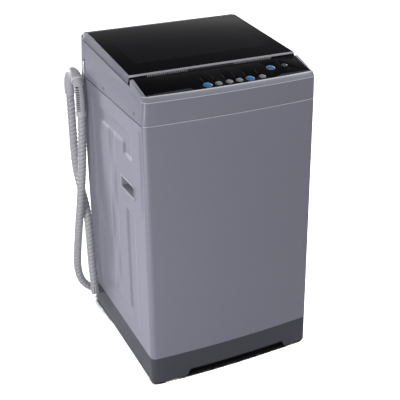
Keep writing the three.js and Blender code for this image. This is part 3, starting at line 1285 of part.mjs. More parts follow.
const HOSE_START = HOSE_ROUTE[0].clone().add(new THREE.Vector3(GAP, 0, 0));
const ELBOW_PATH = new THREE.QuadraticBezierCurve3(
  new THREE.Vector3(PIPE_X, HALF_DEPTH + GAP, PIPE_Z),
  new THREE.Vector3(PIPE_X, HOSE_START.y, HOSE_START.z),
  HOSE_START,
);
piece('drain_elbow', pipe(ELBOW_PATH, ELBOW_RADIUS, ELBOW_RADIUS - HOOK_WALL, 5), 'hose');

const HOSE_END = HOSE_PATH.getPointAt(1);
const HANG = HOSE_PATH.getTangentAt(1);
const CUFF_PATH = new THREE.LineCurve3(
  HOSE_END.clone().addScaledVector(HANG, GAP),
  HOSE_END.clone().addScaledVector(HANG, GAP + CUFF_LENGTH),
);
piece('hose_cuff', pipe(CUFF_PATH, CUFF_RADIUS, CUFF_RADIUS - CUFF_WALL, 1), 'hose');

// The hook is a rigid sleeve round the turn of the hose, longer on the side that climbs.
const HOOK_BORE = HOSE_RADIUS + 2 * GAP;
const HOOK_REACH = 60;
const hookAcross = [ARCH_LEFT - HOOK_REACH, ARCH_LEFT + HOOK_REACH];
const hookTop = COVER_Z + HOOK_REACH;
const hookRoom = join(
  block(hookAcross, [ARCH_Y - 2 * HOOK_REACH, ARCH_Y + 1], [HOOK_FRONT_END, hookTop]),
  block(hookAcross, [ARCH_Y, ARCH_Y + 2 * HOOK_REACH], [HOOK_REAR_END, hookTop]),
);
piece('hose_hook', cut(
  tube(HOSE_PATH, HOOK_BORE + HOOK_WALL, HOSE_STEPS, HOSE_SIDES).intersect(hookRoom),
  tube(HOSE_PATH, HOOK_BORE, HOSE_STEPS, HOSE_SIDES),
), 'greyPlastic');

// A band round the hook, and its tongue up to a slot in the cover.
const BAND_BORE = HOOK_BORE + HOOK_WALL + STRAP_PLAY;
const BAND_X = ARCH_LEFT - ARCH_DRIFT / 4;
const BAND_Z = ARCH_Z + ARCH_RADIUS * Math.SQRT1_2;
const BAND_EDGE = BAND_X + BAND_BORE + STRAP_THICKNESS;
const bandPlace = at(BAND_X, BAND_Y, BAND_Z)
  .multiply(new THREE.Matrix4().makeRotationX(-Math.PI / 4));
const band = turned([
  [BAND_BORE, -STRAP_WIDTH / 2], [BAND_BORE + STRAP_THICKNESS, -STRAP_WIDTH / 2],
  [BAND_BORE + STRAP_THICKNESS, STRAP_WIDTH / 2], [BAND_BORE, STRAP_WIDTH / 2],
], 24, bandPlace);
const SLOT_X = -coverHalf(STRAP_Z);
const tongue = new THREE.Shape([
  new THREE.Vector2(BAND_EDGE - STRAP_THICKNESS, BAND_Z - 2),
  new THREE.Vector2(BAND_EDGE, BAND_Z - 2),
  new THREE.Vector2(SLOT_X - 1, STRAP_Z),
  new THREE.Vector2(SLOT_X + COVER_WALL + 2, STRAP_Z),
  new THREE.Vector2(SLOT_X + COVER_WALL + 2, STRAP_Z + STRAP_THICKNESS),
  new THREE.Vector2(SLOT_X - 1 - STRAP_THICKNESS, STRAP_Z + STRAP_THICKNESS),
]);
piece('hose_strap', join(
  band,
  prismAlongY(tongue, BAND_Y - STRAP_WIDTH / 2, BAND_Y + STRAP_WIDTH / 2),
), 'whitePlastic');

export default machine;
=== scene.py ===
from math import cos, pi, radians, sin

import bmesh
import bpy
import numpy as np
from mathutils import Matrix, Vector


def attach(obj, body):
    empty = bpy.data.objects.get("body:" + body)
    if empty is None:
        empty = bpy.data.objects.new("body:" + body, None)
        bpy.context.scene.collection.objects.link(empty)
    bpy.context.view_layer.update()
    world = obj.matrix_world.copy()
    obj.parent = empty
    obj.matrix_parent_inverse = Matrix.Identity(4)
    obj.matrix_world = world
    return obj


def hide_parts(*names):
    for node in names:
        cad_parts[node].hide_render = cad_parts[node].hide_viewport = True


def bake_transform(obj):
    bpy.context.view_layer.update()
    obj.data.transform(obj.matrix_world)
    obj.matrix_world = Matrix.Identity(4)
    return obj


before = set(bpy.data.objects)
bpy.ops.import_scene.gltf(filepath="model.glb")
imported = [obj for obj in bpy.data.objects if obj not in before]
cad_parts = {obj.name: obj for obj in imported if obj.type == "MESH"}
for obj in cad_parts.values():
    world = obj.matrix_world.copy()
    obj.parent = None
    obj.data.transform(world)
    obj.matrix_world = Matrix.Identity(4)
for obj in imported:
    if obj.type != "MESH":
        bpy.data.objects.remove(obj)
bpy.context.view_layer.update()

# ---- Camera ----
# It stands off the machine's front left corner, above the lid, and looks down at it through a long lens.
# The lens is shifted down a little, so that the upright edges lean in less.
CAMERA_PLACE = Vector((-0.9675, -2.146, 1.589))
CAMERA_YAW = radians(25.46)
CAMERA_PITCH = radians(23.44)
CAMERA_ROLL = radians(-0.43)
CAMERA_LENS, CAMERA_SENSOR = 76.5, 36
CAMERA_SHIFT = (-0.025, -0.1)


def placed(name, data):
    """A new object of the scene that holds a mesh, a lamp or a camera."""
    thing = bpy.data.objects.new(name, data)
    bpy.context.scene.collection.objects.link(thing)
    return thing


camera = placed("camera", bpy.data.cameras.new("camera"))
bpy.context.scene.camera = camera
camera.data.lens = CAMERA_LENS
camera.data.sensor_width = CAMERA_SENSOR
camera.data.shift_x, camera.data.shift_y = CAMERA_SHIFT
camera_aim = Vector((
    sin(CAMERA_YAW) * cos(CAMERA_PITCH),
    cos(CAMERA_YAW) * cos(CAMERA_PITCH),
    -sin(CAMERA_PITCH),
))
camera_turn = camera_aim.to_track_quat("-Z", "Y").to_matrix() @ Matrix.Rotation(CAMERA_ROLL, 3, "Z")
camera.matrix_world = Matrix.Translation(CAMERA_PLACE) @ camera_turn.to_4x4()
bpy.context.scene.view_settings.view_transform = "Standard"

# ---- Drain hose ----
# A ribbed hose of grey polyethylene, blown in one length. It leaves the pump's elbow at the foot of the
# back, climbs the rear left corner, goes over its holder and falls to a smooth rubber cuff.
HOSE_RADIUS, HOSE_CREST = 0.013, 0.0136
HOSE_GROOVE_DEPTH = 0.0019
HOSE_GROOVE_POWER = 1.8  # narrows the grooves between the round ribs
HOSE_RIB_PITCH = 0.0140
HOSE_RIB_STARTS = 2
HOSE_SIDES = 28
HOSE_STEP = 0.00165
HOSE_SMOOTH_END = 0.012
HOSE_COLOUR = (0.50, 0.50, 0.535)
# The darker colour painted as shade into the hose's grooves, and how much of it.
GROOVE_SHADE_COLOUR, GROOVE_SHADE_SHARE = (0.16, 0.16, 0.175), 0.4
ARCH_X, ARCH_Y, ARCH_Z = -0.278, 0.251, 0.767
ARCH_RADIUS = 0.046
ARCH_DRIFT = -0.005
HOSE_CLIMB = [
    (-0.196, 0.282, 0.025), (-0.218, 0.282, 0.025), (-0.250, 0.283, 0.031), (-0.278, 0.284, 0.050),
    (-0.296, 0.286, 0.078), (-0.303, 0.288, 0.110), (-0.304, 0.288, 0.150), (-0.302, 0.280, 0.200),
    (-0.302, 0.262, 0.250), (-0.302, 0.244, 0.300), (-0.2995, 0.232, 0.350), (-0.292, 0.226, 0.425),
    (-0.285, 0.219, 0.511), (-0.280, 0.214, 0.600), (-0.278, 0.207, 0.690),
]
HOSE_ARCH = [
    (ARCH_X + ARCH_DRIFT * turn / 180, ARCH_Y - ARCH_RADIUS * cos(radians(turn)),
     ARCH_Z + ARCH_RADIUS * sin(radians(turn)))
    for turn in range(0, 181, 30)
]
HOSE_FALL = [
    (-0.283, 0.298, 0.700), (-0.283, 0.299, 0.620), (-0.283, 0.299, 0.540), (-0.281, 0.297, 0.480),
    (-0.277, 0.284, 0.428), (-0.2735, 0.262, 0.388), (-0.2725, 0.243, 0.348), (-0.2725, 0.233, 0.300),
    (-0.2725, 0.230, 0.240), (-0.2725, 0.227, 0.180), (-0.273, 0.219, 0.125), (-0.273, 0.213, 0.084),
]


def route(points, step, fine_steps=40):
    """Points a step apart along the centripetal Catmull-Rom curve through the given ones."""
    given = np.array(points, float)
    ends = [2 * given[0] - given[1], *given, 2 * given[-1] - given[-2]]
    fine = []
    for before, start, end, after in zip(ends, ends[1:], ends[2:], ends[3:]):
        chords = ((before, start), (start, end), (end, after))
        lead, span, trail = [np.linalg.norm(b - a) ** 0.5 for a, b in chords]
        out = ((start - before) / lead - (end - before) / (lead + span) + (end - start) / span) * span
        into = ((end - start) / span - (after - start) / (span + trail) + (after - end) / trail) * span
        for t in np.linspace(0, 1, fine_steps, endpoint=False):
            fine.append(start * (2 * t**3 - 3 * t**2 + 1) + out * (t**3 - 2 * t**2 + t)
                        + end * (3 * t**2 - 2 * t**3) + into * (t**3 - t**2))
    fine = np.array(fine + [given[-1]])
    along = np.concatenate([[0], np.cumsum(np.linalg.norm(np.diff(fine, axis=0), axis=1))])
    places = np.linspace(0, along[-1], int(along[-1] / step) + 1)
    return np.stack([np.interp(places, along, fine[:, axis]) for axis in range(3)], axis=1)


def across(path, up):
    """Two directions across a path at each of its points, which don't twist as it bends."""
    ahead = np.gradient(path, axis=0)
    ahead /= np.linalg.norm(ahead, axis=1)[:, None]
    sides, side = [], np.array(up, float)
    for direction in ahead:
        side = side - direction * (side @ direction)
        side = side / np.linalg.norm(side)
        sides.append(side)
    sides = np.array(sides)
    return sides, np.cross(ahead, sides)


def mesh_piece(name, places, faces):
    """A new object from points and faces, shaded smooth."""
    mesh = bpy.data.meshes.new(name)
    mesh.from_pydata([tuple(map(float, p)) for p in places], [], [tuple(map(int, f)) for f in faces])
    mesh.validate()
    mesh.polygons.foreach_set("use_smooth", [True] * len(mesh.polygons))
    return placed(name, mesh)


def grid_faces(rows, columns, around_rows=False, around_columns=True):
    """The quads of a grid of points numbered row by row."""
    row = np.arange(rows if around_rows else rows - 1)
    column = np.arange(columns if around_columns else columns - 1)
    r, c = [part.ravel() for part in np.meshgrid(row, column, indexing="ij")]
    r_next, c_next = (r + 1) % rows, (c + 1) % columns
    corners = [r * columns + c, r * columns + c_next, r_next * columns + c_next, r_next * columns + c]
    return np.stack(corners, axis=1)


def capped_tube(rings, sides):
    """The faces of a tube made of rings of points, with a cap on each end."""
    first_cap, last_cap = range(sides)[::-1], range((rings - 1) * sides, rings * sides)
    return [*grid_faces(rings, sides), first_cap, last_cap]


def skin(path, sides, normals, radii, turns):
    """Rings of points round a path, one row per point of it."""
    ring = sides[:, None] * np.cos(turns)[None, :, None] + normals[:, None] * np.sin(turns)[None, :, None]
    return (path[:, None] + ring * radii[..., None]).reshape(-1, 3)


class Socket:
    """One output of a node. Sums on it add Math nodes."""

    def __init__(self, nodes, output):
        self.nodes, self.output = nodes, output

    def maths(self, operation, *values):
        return self.nodes.node("Math", {"operation": operation}, dict(enumerate(values)))

    def __add__(self, other):
        return self.maths("ADD", self, other)

    def __sub__(self, other):
        return self.maths("SUBTRACT", self, other)

    def __rsub__(self, other):
        return self.maths("SUBTRACT", other, self)

    def __mul__(self, other):
        return self.maths("MULTIPLY", self, other)

    def __gt__(self, other):
        return self.maths("GREATER_THAN", self, other)

    def __lt__(self, other):
        return self.maths("LESS_THAN", self, other)

    __radd__, __rmul__ = __add__, __mul__


class Nodes:
    """The nodes of a material or of the sky."""

    def __init__(self, tree):
        self.tree = tree

    def feed(self, socket, value):
        if isinstance(value, Socket):
            self.tree.links.new(value.output, socket)
        elif isinstance(value, tuple) and len(value) == 3 and socket.type == "RGBA":
            socket.default_value = (*value, 1)
        else:
            socket.default_value = value

    def node(self, kind, settings=None, values=None, output=0):
        """A node of a kind, its settings made first, then its sockets; returns one output."""
        made = self.tree.nodes.new("ShaderNode" + kind)
        for name, value in (settings or {}).items():
            setattr(made, name, value)
        for name, value in (values or {}).items():
            self.feed(made.inputs[name], value)
        return Socket(self, made.outputs[output])


class Finish(Nodes):
    """A material made of nodes round one Principled shader."""

    def __init__(self, name, **fixed):
        self.material = bpy.data.materials.new(name)
        self.material.use_nodes = True
        super().__init__(self.material.node_tree)
        self.shader = self.tree.nodes["Principled BSDF"]
        self.surface(**fixed)

    def surface(self, **values):
        """Sets the shader's sockets: base_color becomes Base Color, and so on."""
        for name, value in values.items():
            label = " ".join(word.upper() if word == "ior" else word.capitalize() for word in name.split("_"))
            self.feed(self.shader.inputs[label], value)

    def place(self):
        return self.node("TexCoord", output="Object")

    def axes(self):
        """The three numbers of a place on the piece."""
        split = self.node("SeparateXYZ", {}, {"Vector": self.place()}).output.node
        return [Socket(self, output) for output in split.outputs]

    def noise(self, scale, detail=2.0, stretch=(1, 1, 1)):
        """Cloudy values from 0 to 1 over the piece, scale to the metre."""
        mapped = self.node("Mapping", {}, {"Vector": self.place(), "Scale": stretch})
        return self.node("TexNoise", {}, {"Vector": mapped, "Scale": scale, "Detail": detail})

    def mix(self, share, first, second):
        """The second colour over the first by a share."""
        return self.node("Mix", {"data_type": "RGBA"}, {0: share, 6: first, 7: second}, output=2)

    def relief(self, height, depth):
        """Fine relief from a height of 0 to 1, as deep as given in metres."""
        self.surface(normal=self.node("Bump", {}, {"Distance": depth, "Height": height}))

    def grain(self, depth=0.00004):
        """The fine grain that a spark-eroded mould leaves on plastic."""
        self.relief(self.noise(1500.0, 1.0), depth)


def tinted(colour, factor):
    """A colour made darker or lighter by a factor."""
    return tuple(min(1, factor * part) for part in colour)


def moulded_plastic(name, colour, roughness, specular=0.5):
    """Moulded plastic: an even colour, a fine grain and a faint flow pattern in its gloss."""
    plastic = Finish(name, specular_ior_level=specular)
    flow = plastic.noise(14.0, 3.0)
    plastic.surface(base_color=plastic.mix(flow, colour, tinted(colour, 0.94)),
                    roughness=roughness + (flow - 0.5) * 0.12)
    plastic.grain()
    return plastic.material


hose_path = route([*HOSE_CLIMB, *HOSE_ARCH, *HOSE_FALL], HOSE_STEP)
hose_length = float(np.linalg.norm(np.diff(hose_path, axis=0), axis=1).sum())
hose_sides, hose_normals = across(hose_path, (1, 0, 0))
hose_turns = np.linspace(0, 2 * pi, HOSE_SIDES, endpoint=False)
hose_along = np.linspace(0, hose_length, len(hose_path))
rib_phase = 2 * pi * hose_along[:, None] / HOSE_RIB_PITCH - HOSE_RIB_STARTS * hose_turns[None, :]
from_ends = np.minimum(hose_along, hose_length - hose_along)[:, None]
rib_share = np.clip(from_ends / HOSE_SMOOTH_END, 0, 1)
groove = rib_share * (0.5 - 0.5 * np.cos(rib_phase)) ** HOSE_GROOVE_POWER
hose_radii = HOSE_CREST - HOSE_GROOVE_DEPTH * groove
hose_points = skin(hose_path, hose_sides, hose_normals, hose_radii, hose_turns)
hose = mesh_piece("ribbed_drain_hose", hose_points, capped_tube(len(hose_path), HOSE_SIDES))
# How deep in a groove each point lies is kept on the mesh, so that the grooves can be painted darker as
# shade.
hose.data.attributes.new("groove", "FLOAT", "POINT").data.foreach_set("value", groove.ravel())
hose_finish = Finish("hose_polyethylene", specular_ior_level=0.35)
# Painted shade: the grooves are coloured darker, as if in shadow, by how deep each point lies.
groove_shade = hose_finish.node("Attribute", {"attribute_name": "groove"}, output=2)
hose_finish.surface(base_color=hose_finish.mix(groove_shade * GROOVE_SHADE_SHARE, HOSE_COLOUR, GROOVE_SHADE_COLOUR),
                    roughness=hose_finish.noise(14.0) * 0.1 + 0.45)
hose_finish.grain()
hose_plastic = hose_finish.material
hose.data.materials.append(hose_plastic)
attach(hose, "cabinet")
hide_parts("drain_hose")

# The elbow at the pump's outlet and the cuff on the free end are moulded in the same grey, and pushed
# over the hose. Every moulded or pressed part here has its sharp edges rounded.
SMOOTH_ANGLE = radians(32)
WELD_GAP, FLAT_ANGLE, EDGE_ANGLE = 0.000005, radians(0.04), radians(35)


def edge_softener():
    """A node group that shades a mesh smooth, but for its edges sharper than the smooth angle."""
    group = bpy.data.node_groups.new("smooth_by_angle", "GeometryNodeTree")
    group.interface.new_socket("Mesh", in_out="INPUT", socket_type="NodeSocketGeometry")
    group.interface.new_socket("Mesh", in_out="OUTPUT", socket_type="NodeSocketGeometry")
    start, end = group.nodes.new("NodeGroupInput"), group.nodes.new("NodeGroupOutput")
    all_smooth, sharp = [group.nodes.new("GeometryNodeSetShadeSmooth") for _ in range(2)]
    all_smooth.domain, sharp.domain = "FACE", "EDGE"
    sharp.inputs["Shade Smooth"].default_value = False
    angle = group.nodes.new("GeometryNodeInputMeshEdgeAngle")
    compare = group.nodes.new("FunctionNodeCompare")
    compare.operation = "GREATER_THAN"
    compare.inputs[1].default_value = SMOOTH_ANGLE
    for output, socket in (
        (start.outputs[0], all_smooth.inputs["Geometry"]), (all_smooth.outputs[0], sharp.inputs["Geometry"]),
        (angle.outputs["Unsigned Angle"], compare.inputs[0]), (compare.outputs[0], sharp.inputs["Selection"]),
        (sharp.outputs[0], end.inputs[0]),
    ):
        group.links.new(output, socket)
    return group


smooth_by_angle = edge_softener()


def shade_by_angle(piece):
    piece.modifiers.new("smooth by angle", "NODES").node_group = smooth_by_angle


def dress(node, material, edge, segments=2):
    """Gives a part of the frame its finish, rounds its edges and smooths its curved faces."""
    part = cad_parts[node]
    for place in part.material_slots:
        place.material = material
    part.modifiers.new("weld", "WELD").merge_threshold = WELD_GAP
    flats = part.modifiers.new("flats", "DECIMATE")
    flats.decimate_type, flats.angle_limit = "DISSOLVE", FLAT_ANGLE
    bevel = part.modifiers.new("edges", "BEVEL")
    bevel.width, bevel.segments, bevel.angle_limit = edge, segments, EDGE_ANGLE
    shade_by_angle(part)
    return part


elbow = dress("drain_elbow", hose_plastic, 0.0015, 3)
cuff = dress("hose_cuff", hose_plastic, 0.002, 3)

# The holder is a bent sleeve of grey plastic that keeps the hose in its bend. Its front leg is a ladder
# of bars with slots between them, so that it can flex, and ends in a plain collar. Shallow grooves run
# from the slots round the rest of the sleeve.
HOLDER_OUTER = 0.0162
HOLDER_INNER = 0.0137
HOLDER_COLLAR = 0.017
HOLDER_BAR_PITCH = 0.0065
HOLDER_SLOT_DEPTH, HOLDER_GROOVE_SHARE = 0.0022, 0.5
HOLDER_LADDER_FOOT = HOSE_CLIMB[-1][2] + HOLDER_COLLAR
HOLDER_LADDER_TOP, HOLDER_LADDER_FADE = 0.786, 0.002
HOLDER_REAR_END = 0.735
HOLDER_SIDES, HOLDER_STEP = 72, 0.0011
HOLDER_FRONT = 270  # where the sleeve faces forward, in degrees round it
HOLDER_COLUMN, HOLDER_COLUMN_HALF = 50, 22  # of slots each side of its front, in degrees
HOLDER_COLUMN_FADE = 3
SLOT_SHARPNESS = 1.6
holder_route = route([HOSE_CLIMB[-1], *HOSE_ARCH, HOSE_FALL[0]], HOLDER_STEP)
rising = holder_route[:, 1] < ARCH_Y
holder_route = holder_route[rising | (holder_route[:, 2] > HOLDER_REAR_END)]
holder_sides, holder_normals = across(holder_route, (1, 0, 0))
holder_turns = np.linspace(0, 2 * pi, HOLDER_SIDES, endpoint=False)
holder_height = holder_route[:, 2:]
above_foot = np.clip((holder_height - HOLDER_LADDER_FOOT) / HOLDER_LADDER_FADE, 0, 1)
below_top = np.clip((HOLDER_LADDER_TOP - holder_height) / HOLDER_LADDER_FADE, 0, 1)
in_ladder = above_foot * below_top * (holder_route[:, 1:2] < ARCH_Y)
slot_wave = np.clip(0.5 + SLOT_SHARPNESS * np.cos(2 * pi * holder_height / HOLDER_BAR_PITCH), 0, 1)
from_column = np.abs(np.abs(np.degrees(holder_turns) - HOLDER_FRONT) - HOLDER_COLUMN)
in_column = np.clip((HOLDER_COLUMN_HALF - from_column) / HOLDER_COLUMN_FADE, 0, 1)[None, :]
slots = in_ladder * slot_wave * in_column
holder_grooves = np.maximum(slots, HOLDER_GROOVE_SHARE * in_ladder * slot_wave)
holder_outer = HOLDER_OUTER - HOLDER_SLOT_DEPTH * holder_grooves
holder_inner = np.full_like(holder_outer, HOLDER_INNER)
outer_skin = skin(holder_route, holder_sides, holder_normals, holder_outer, holder_turns)
inner_skin = skin(holder_route, holder_sides, holder_normals, holder_inner, holder_turns)
inner_skin = inner_skin.reshape(len(holder_route), HOLDER_SIDES, 3)[::-1].reshape(-1, 3)
holder_faces = grid_faces(2 * len(holder_route), HOLDER_SIDES, around_rows=True)
holder = mesh_piece("hose_holder", np.concatenate([outer_skin, inner_skin]), holder_faces)
# Painted shade: the holder's grooves and slots are darkened by the hose finish, as its grooves are.
holder_groove_shade = np.concatenate([holder_grooves.ravel(), np.zeros(holder_grooves.size)])
holder.data.attributes.new("groove", "FLOAT", "POINT").data.foreach_set("value", holder_groove_shade)
holder.data.materials.append(hose_plastic)
# The bottoms of the slots are painted black as shade, because the real ones go right through.
holder.data.materials.append(moulded_plastic("slot_shade", (0.02, 0.02, 0.022), 0.8, specular=0.1))
first_corners = np.array([face.vertices[0] for face in holder.data.polygons])
slot_shares = np.concatenate([slots.ravel(), np.zeros(slots.size)])
slot_faces = slot_shares[first_corners] > 0.5
holder.data.polygons.foreach_set("material_index", slot_faces.astype(np.int32))
shade_by_angle(holder)
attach(holder, "cabinet")
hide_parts("hose_hook")

# A tie of white nylon round the holder hooks into a slot in the top cover.
white_nylon = moulded_plastic("white_nylon", (0.72, 0.72, 0.74), 0.45)
strap = dress("hose_strap", white_nylon, 0.0006)

# ---- Base and feet ----
# The base is one moulding of dark grey polypropylene, closed at the sides and cut away at the front for a
# toe. It carries the cabinet and stands on four rubber feet; the front two screw up and down to level it.
base_plastic = moulded_plastic("base_polypropylene", (0.062, 0.062, 0.082), 0.45, specular=0.3)
dress("base_frame", base_plastic, 0.003, 3)

# The rubber of the feet is black, with a faint bloom.
RUBBER_BLACK = (0.02, 0.02, 0.022)
rubber = Finish("black_rubber", specular_ior_level=0.3)
bloom = rubber.noise(60.0)
rubber.surface(base_color=rubber.mix(bloom, RUBBER_BLACK, tinted(RUBBER_BLACK, 2)),
               roughness=bloom * 0.2 + 0.6)
rubber.relief(rubber.noise(900.0), 0.0001)
black_rubber = rubber.material
for foot in ("front_foot_left", "front_foot_right", "rear_foot_left", "rear_foot_right"):
    dress(foot, black_rubber, 0.0012)

# A black plate with a foot and a head turned forward closes the toe cut-out from behind: a dark sheet put
# there as painted shade, for the dark inside of the base. Its foot follows the machine's front, which bows a
# little between its rounded corners.
SHELL_X, SHELL_Y, SHELL_CORNER, SHELL_BOW = 0.257, 0.260, 0.016, 0.009
TOE_ENDS = (-0.148, 0.177)
PLATE_HEAD, PLATE_FOOT_INSET = -0.2575, 0.001
flat_x, flat_y = SHELL_X - SHELL_CORNER, SHELL_Y - SHELL_CORNER


def front_line(x):
    """How far forward the bowed front reaches."""
    return -SHELL_Y - SHELL_BOW * (1 - (x / flat_x) ** 2)


plate_stations = [-0.166, -0.1485, *np.linspace(*TOE_ENDS, 9), 0.1775, 0.190]
plate_places = []
for x in plate_stations:
    in_cut_out = TOE_ENDS[0] <= x <= TOE_ENDS[1]
    lip = front_line(x) + PLATE_FOOT_INSET if in_cut_out else PLATE_HEAD
    plate_fold = [
        (-0.2490, 0.0465), (-0.2490, 0.0113), (-0.2500, 0.0103), (lip, 0.0103), (lip, 0.0088),
        (-0.2490, 0.0088), (-0.2475, 0.0103), (-0.2475, 0.0465), (-0.2490, 0.0480),
        (PLATE_HEAD, 0.0480), (PLATE_HEAD, 0.0465),
    ]
    plate_places += [(x, y, z) for y, z in plate_fold]
# Painted shade: this black plate stands for the shadow behind the toe cut-out.
toe_shade_plate = mesh_piece("toe_shade_plate", plate_places, capped_tube(len(plate_stations), len(plate_fold)))
black_plastic = moulded_plastic("black_abs", (0.012, 0.012, 0.014), 0.4, specular=0.2)
toe_shade_plate.data.materials.append(black_plastic)
shade_by_angle(toe_shade_plate)
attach(toe_shade_plate, "cabinet")

# ---- Cabinet shell ----
# One sheet of steel is bent round the sides and front, which bows a little, and closed by flanges at the
# back. Its sides are pressed with a channel that stiffens them, and it is painted silver grey.
SHELL_BOTTOM, SHELL_TOP = 0.092, 0.8077
SHEET = 0.0012
ROLL = 0.0022  # of the sheet's top edge at the front
SIDE_SEAM = 0.0011  # left open under the cover at the sides
CELL = 0.005
CHANNEL_DEPTH = 0.0036
WALL = 0.0075  # the width over which the pressing tool turns the sheet in
CHANNEL_OUTER = (-0.160, 0.160, 0.145, 0.752)
CHANNEL_INNER = (-0.105, 0.104, 0.181, 0.713)
GRIP_PAD = (-0.185, -0.080, 0.512, 0.681)
RIPPLE_FRONT, RIPPLE_REAR = (-0.025, WALL), (0.014, 0.02)  # each edge, and the width it fades over
RIPPLE_PERIOD, RIPPLE_CREST = 0.264, 0.680
RIPPLE_DEPTH = 0.0026
RIB_FRONT, RIB_REAR = (0.012, 0.02), (0.032, WALL)
RIB_FOOT, RIB_HEAD = (0.27, 0.2), (0.53, 0.1)
RIB_RISE = 0.0012
FALL_REAR, FALL_HEAD = (0.085, 0.05), (0.56, 0.12)
FALL_DEPTH = 0.0016
EDGE_REAR, EDGE_FOOT, EDGE_HEAD = (-0.230, 0.008), (0.55, 0.06), (0.79, 0.012)
EDGE_STEP = 0.0024
GRIP_HOLE = (-0.1753, -0.0707, 0.5677, 0.6043)
REAR_WINDOW = (-0.195, 0.195, 0.152, 0.738)
front_zone = -flat_y - 0.006  # what lies further forward belongs to the front


def rise(value, edge, width):
    """0 below an edge, 1 above it, with a smooth wall of a width between."""
    t = np.clip((value - edge) / width + 0.5, 0, 1)
    return t * t * (3 - 2 * t)


def fall(value, edge, width):
    return 1 - rise(value, edge, width)


def patch(across_it, up_it, box, wall):
    """1 inside a box and 0 outside, with smooth walls."""
    left, right, low, high = box
    between_ends = rise(across_it, left, wall) * fall(across_it, right, wall)
    return between_ends * rise(up_it, low, wall) * fall(up_it, high, wall)


def side_pressing(y, z):
    """How far in the side's sheet is pressed at a place."""
    field = patch(y, z, CHANNEL_INNER, WALL)
    channel = (patch(y, z, CHANNEL_OUTER, WALL) - field) * (1 - patch(y, z, GRIP_PAD, WALL))
    wave = np.cos(2 * pi * (z - RIPPLE_CREST) / RIPPLE_PERIOD)
    ripple = rise(y, *RIPPLE_FRONT) * fall(y, *RIPPLE_REAR) * wave
    rib = rise(y, *RIB_FRONT) * fall(y, *RIB_REAR) * rise(z, *RIB_FOOT) * fall(z, *RIB_HEAD)
    behind_rib = rise(y, *RIB_REAR) * fall(y, *FALL_REAR) * fall(z, *FALL_HEAD)
    edge = fall(y, *EDGE_REAR) * rise(z, *EDGE_FOOT) * fall(z, *EDGE_HEAD)
    in_field = RIPPLE_DEPTH * ripple - RIB_RISE * rib + FALL_DEPTH * behind_rib
    return CHANNEL_DEPTH * channel + field * in_field + EDGE_STEP * edge


def stations(low, high, step, *exact):
    """Places from low to high about a step apart that include the exact ones."""
    marks = sorted([low, high, *exact])
    places = [low]
    for start, end in zip(marks, marks[1:]):
        count = max(1, round((end - start) / step))
        places += list(np.linspace(start, end, count + 1)[1:])
    return np.array(places)


def inside(across_it, up_it, box):
    left, right, low, high = box
    return (across_it > left) & (across_it < right) & (up_it > low) & (up_it < high)


def corner_arc(centre_x, centre_y, start):
    turns = np.radians(np.linspace(start, start + 90, 8)[1:-1])
    ways = [(cos(t), sin(t)) for t in turns]
    return [(centre_x + SHELL_CORNER * x, centre_y + SHELL_CORNER * y, x, y) for x, y in ways]


def thicken(piece, gauge):
    """Gives a sheet its thickness, inwards from the face that is drawn."""
    sheet = piece.modifiers.new("sheet", "SOLIDIFY")
    sheet.thickness = gauge
    return sheet


# The outline in plan, anticlockwise from the rear right corner: x, y and the way out of the sheet.
side_places = stations(-flat_y, flat_y, CELL, *GRIP_HOLE[:2])
rear_places = stations(-flat_x, flat_x, 2 * CELL, *REAR_WINDOW[:2])
outline = [(x, SHELL_Y, 0, 1) for x in rear_places[::-1]]
outline += corner_arc(-flat_x, flat_y, 90)
outline += [(-SHELL_X, y, -1, 0) for y in side_places[::-1]]
outline += corner_arc(-flat_x, -flat_y, 180)
outline += [(x, front_line(x), 0, -1) for x in np.linspace(-flat_x, flat_x, 61)]
outline += corner_arc(flat_x, -flat_y, 270)
outline += [(SHELL_X, y, 1, 0) for y in side_places]
outline += corner_arc(flat_x, flat_y, 0)
outline = np.array(outline)
roll_foot = SHELL_TOP - ROLL
levels = stations(SHELL_BOTTOM, roll_foot, CELL, *GRIP_HOLE[2:], *REAR_WINDOW[2:])
levels = np.concatenate([levels, roll_foot + ROLL * np.sin(np.radians([25, 50, 70, 85]))])
wall_x, wall_z = np.meshgrid(outline[:, 0], levels)
wall_y = np.broadcast_to(outline[:, 1], wall_x.shape)
on_side = np.abs(outline[:, 2]) == 1
pressed_in = np.where(on_side, side_pressing(wall_y, wall_z), 0)
up_roll = np.clip((wall_z - roll_foot) / ROLL, 0, 1)
at_front = outline[None, :, 1] < front_zone
moved_in = pressed_in + ROLL * (1 - np.sqrt(1 - up_roll**2)) * at_front
wall_x = wall_x - outline[:, 2] * moved_in
wall_y = wall_y - outline[:, 3] * moved_in
wall_z = np.where(at_front, wall_z, np.minimum(wall_z, SHELL_TOP - SIDE_SEAM))
shell_points = np.stack([wall_x, wall_y, wall_z], axis=2).reshape(-1, 3)
shell_faces = grid_faces(len(levels), len(outline))
face_x, face_y, face_z = shell_points[shell_faces].mean(axis=1).T
in_grip = (np.abs(face_x) > SHELL_X - 2 * CELL) & inside(face_y, face_z, GRIP_HOLE)
in_window = (face_y > SHELL_Y - SHEET) & inside(face_x, face_z, REAR_WINDOW)
shell = mesh_piece("pressed_steel_shell", shell_points, shell_faces[~(in_grip | in_window)])
thicken(shell, SHEET)
shade_by_angle(shell)


# A thin bright line is painted as a highlight along the rolled edge under the cover, on the front.
EDGE_HIGHLIGHT_WIDTH, EDGE_HIGHLIGHT_COLOUR = 0.0014, (0.85, 0.85, 0.9)


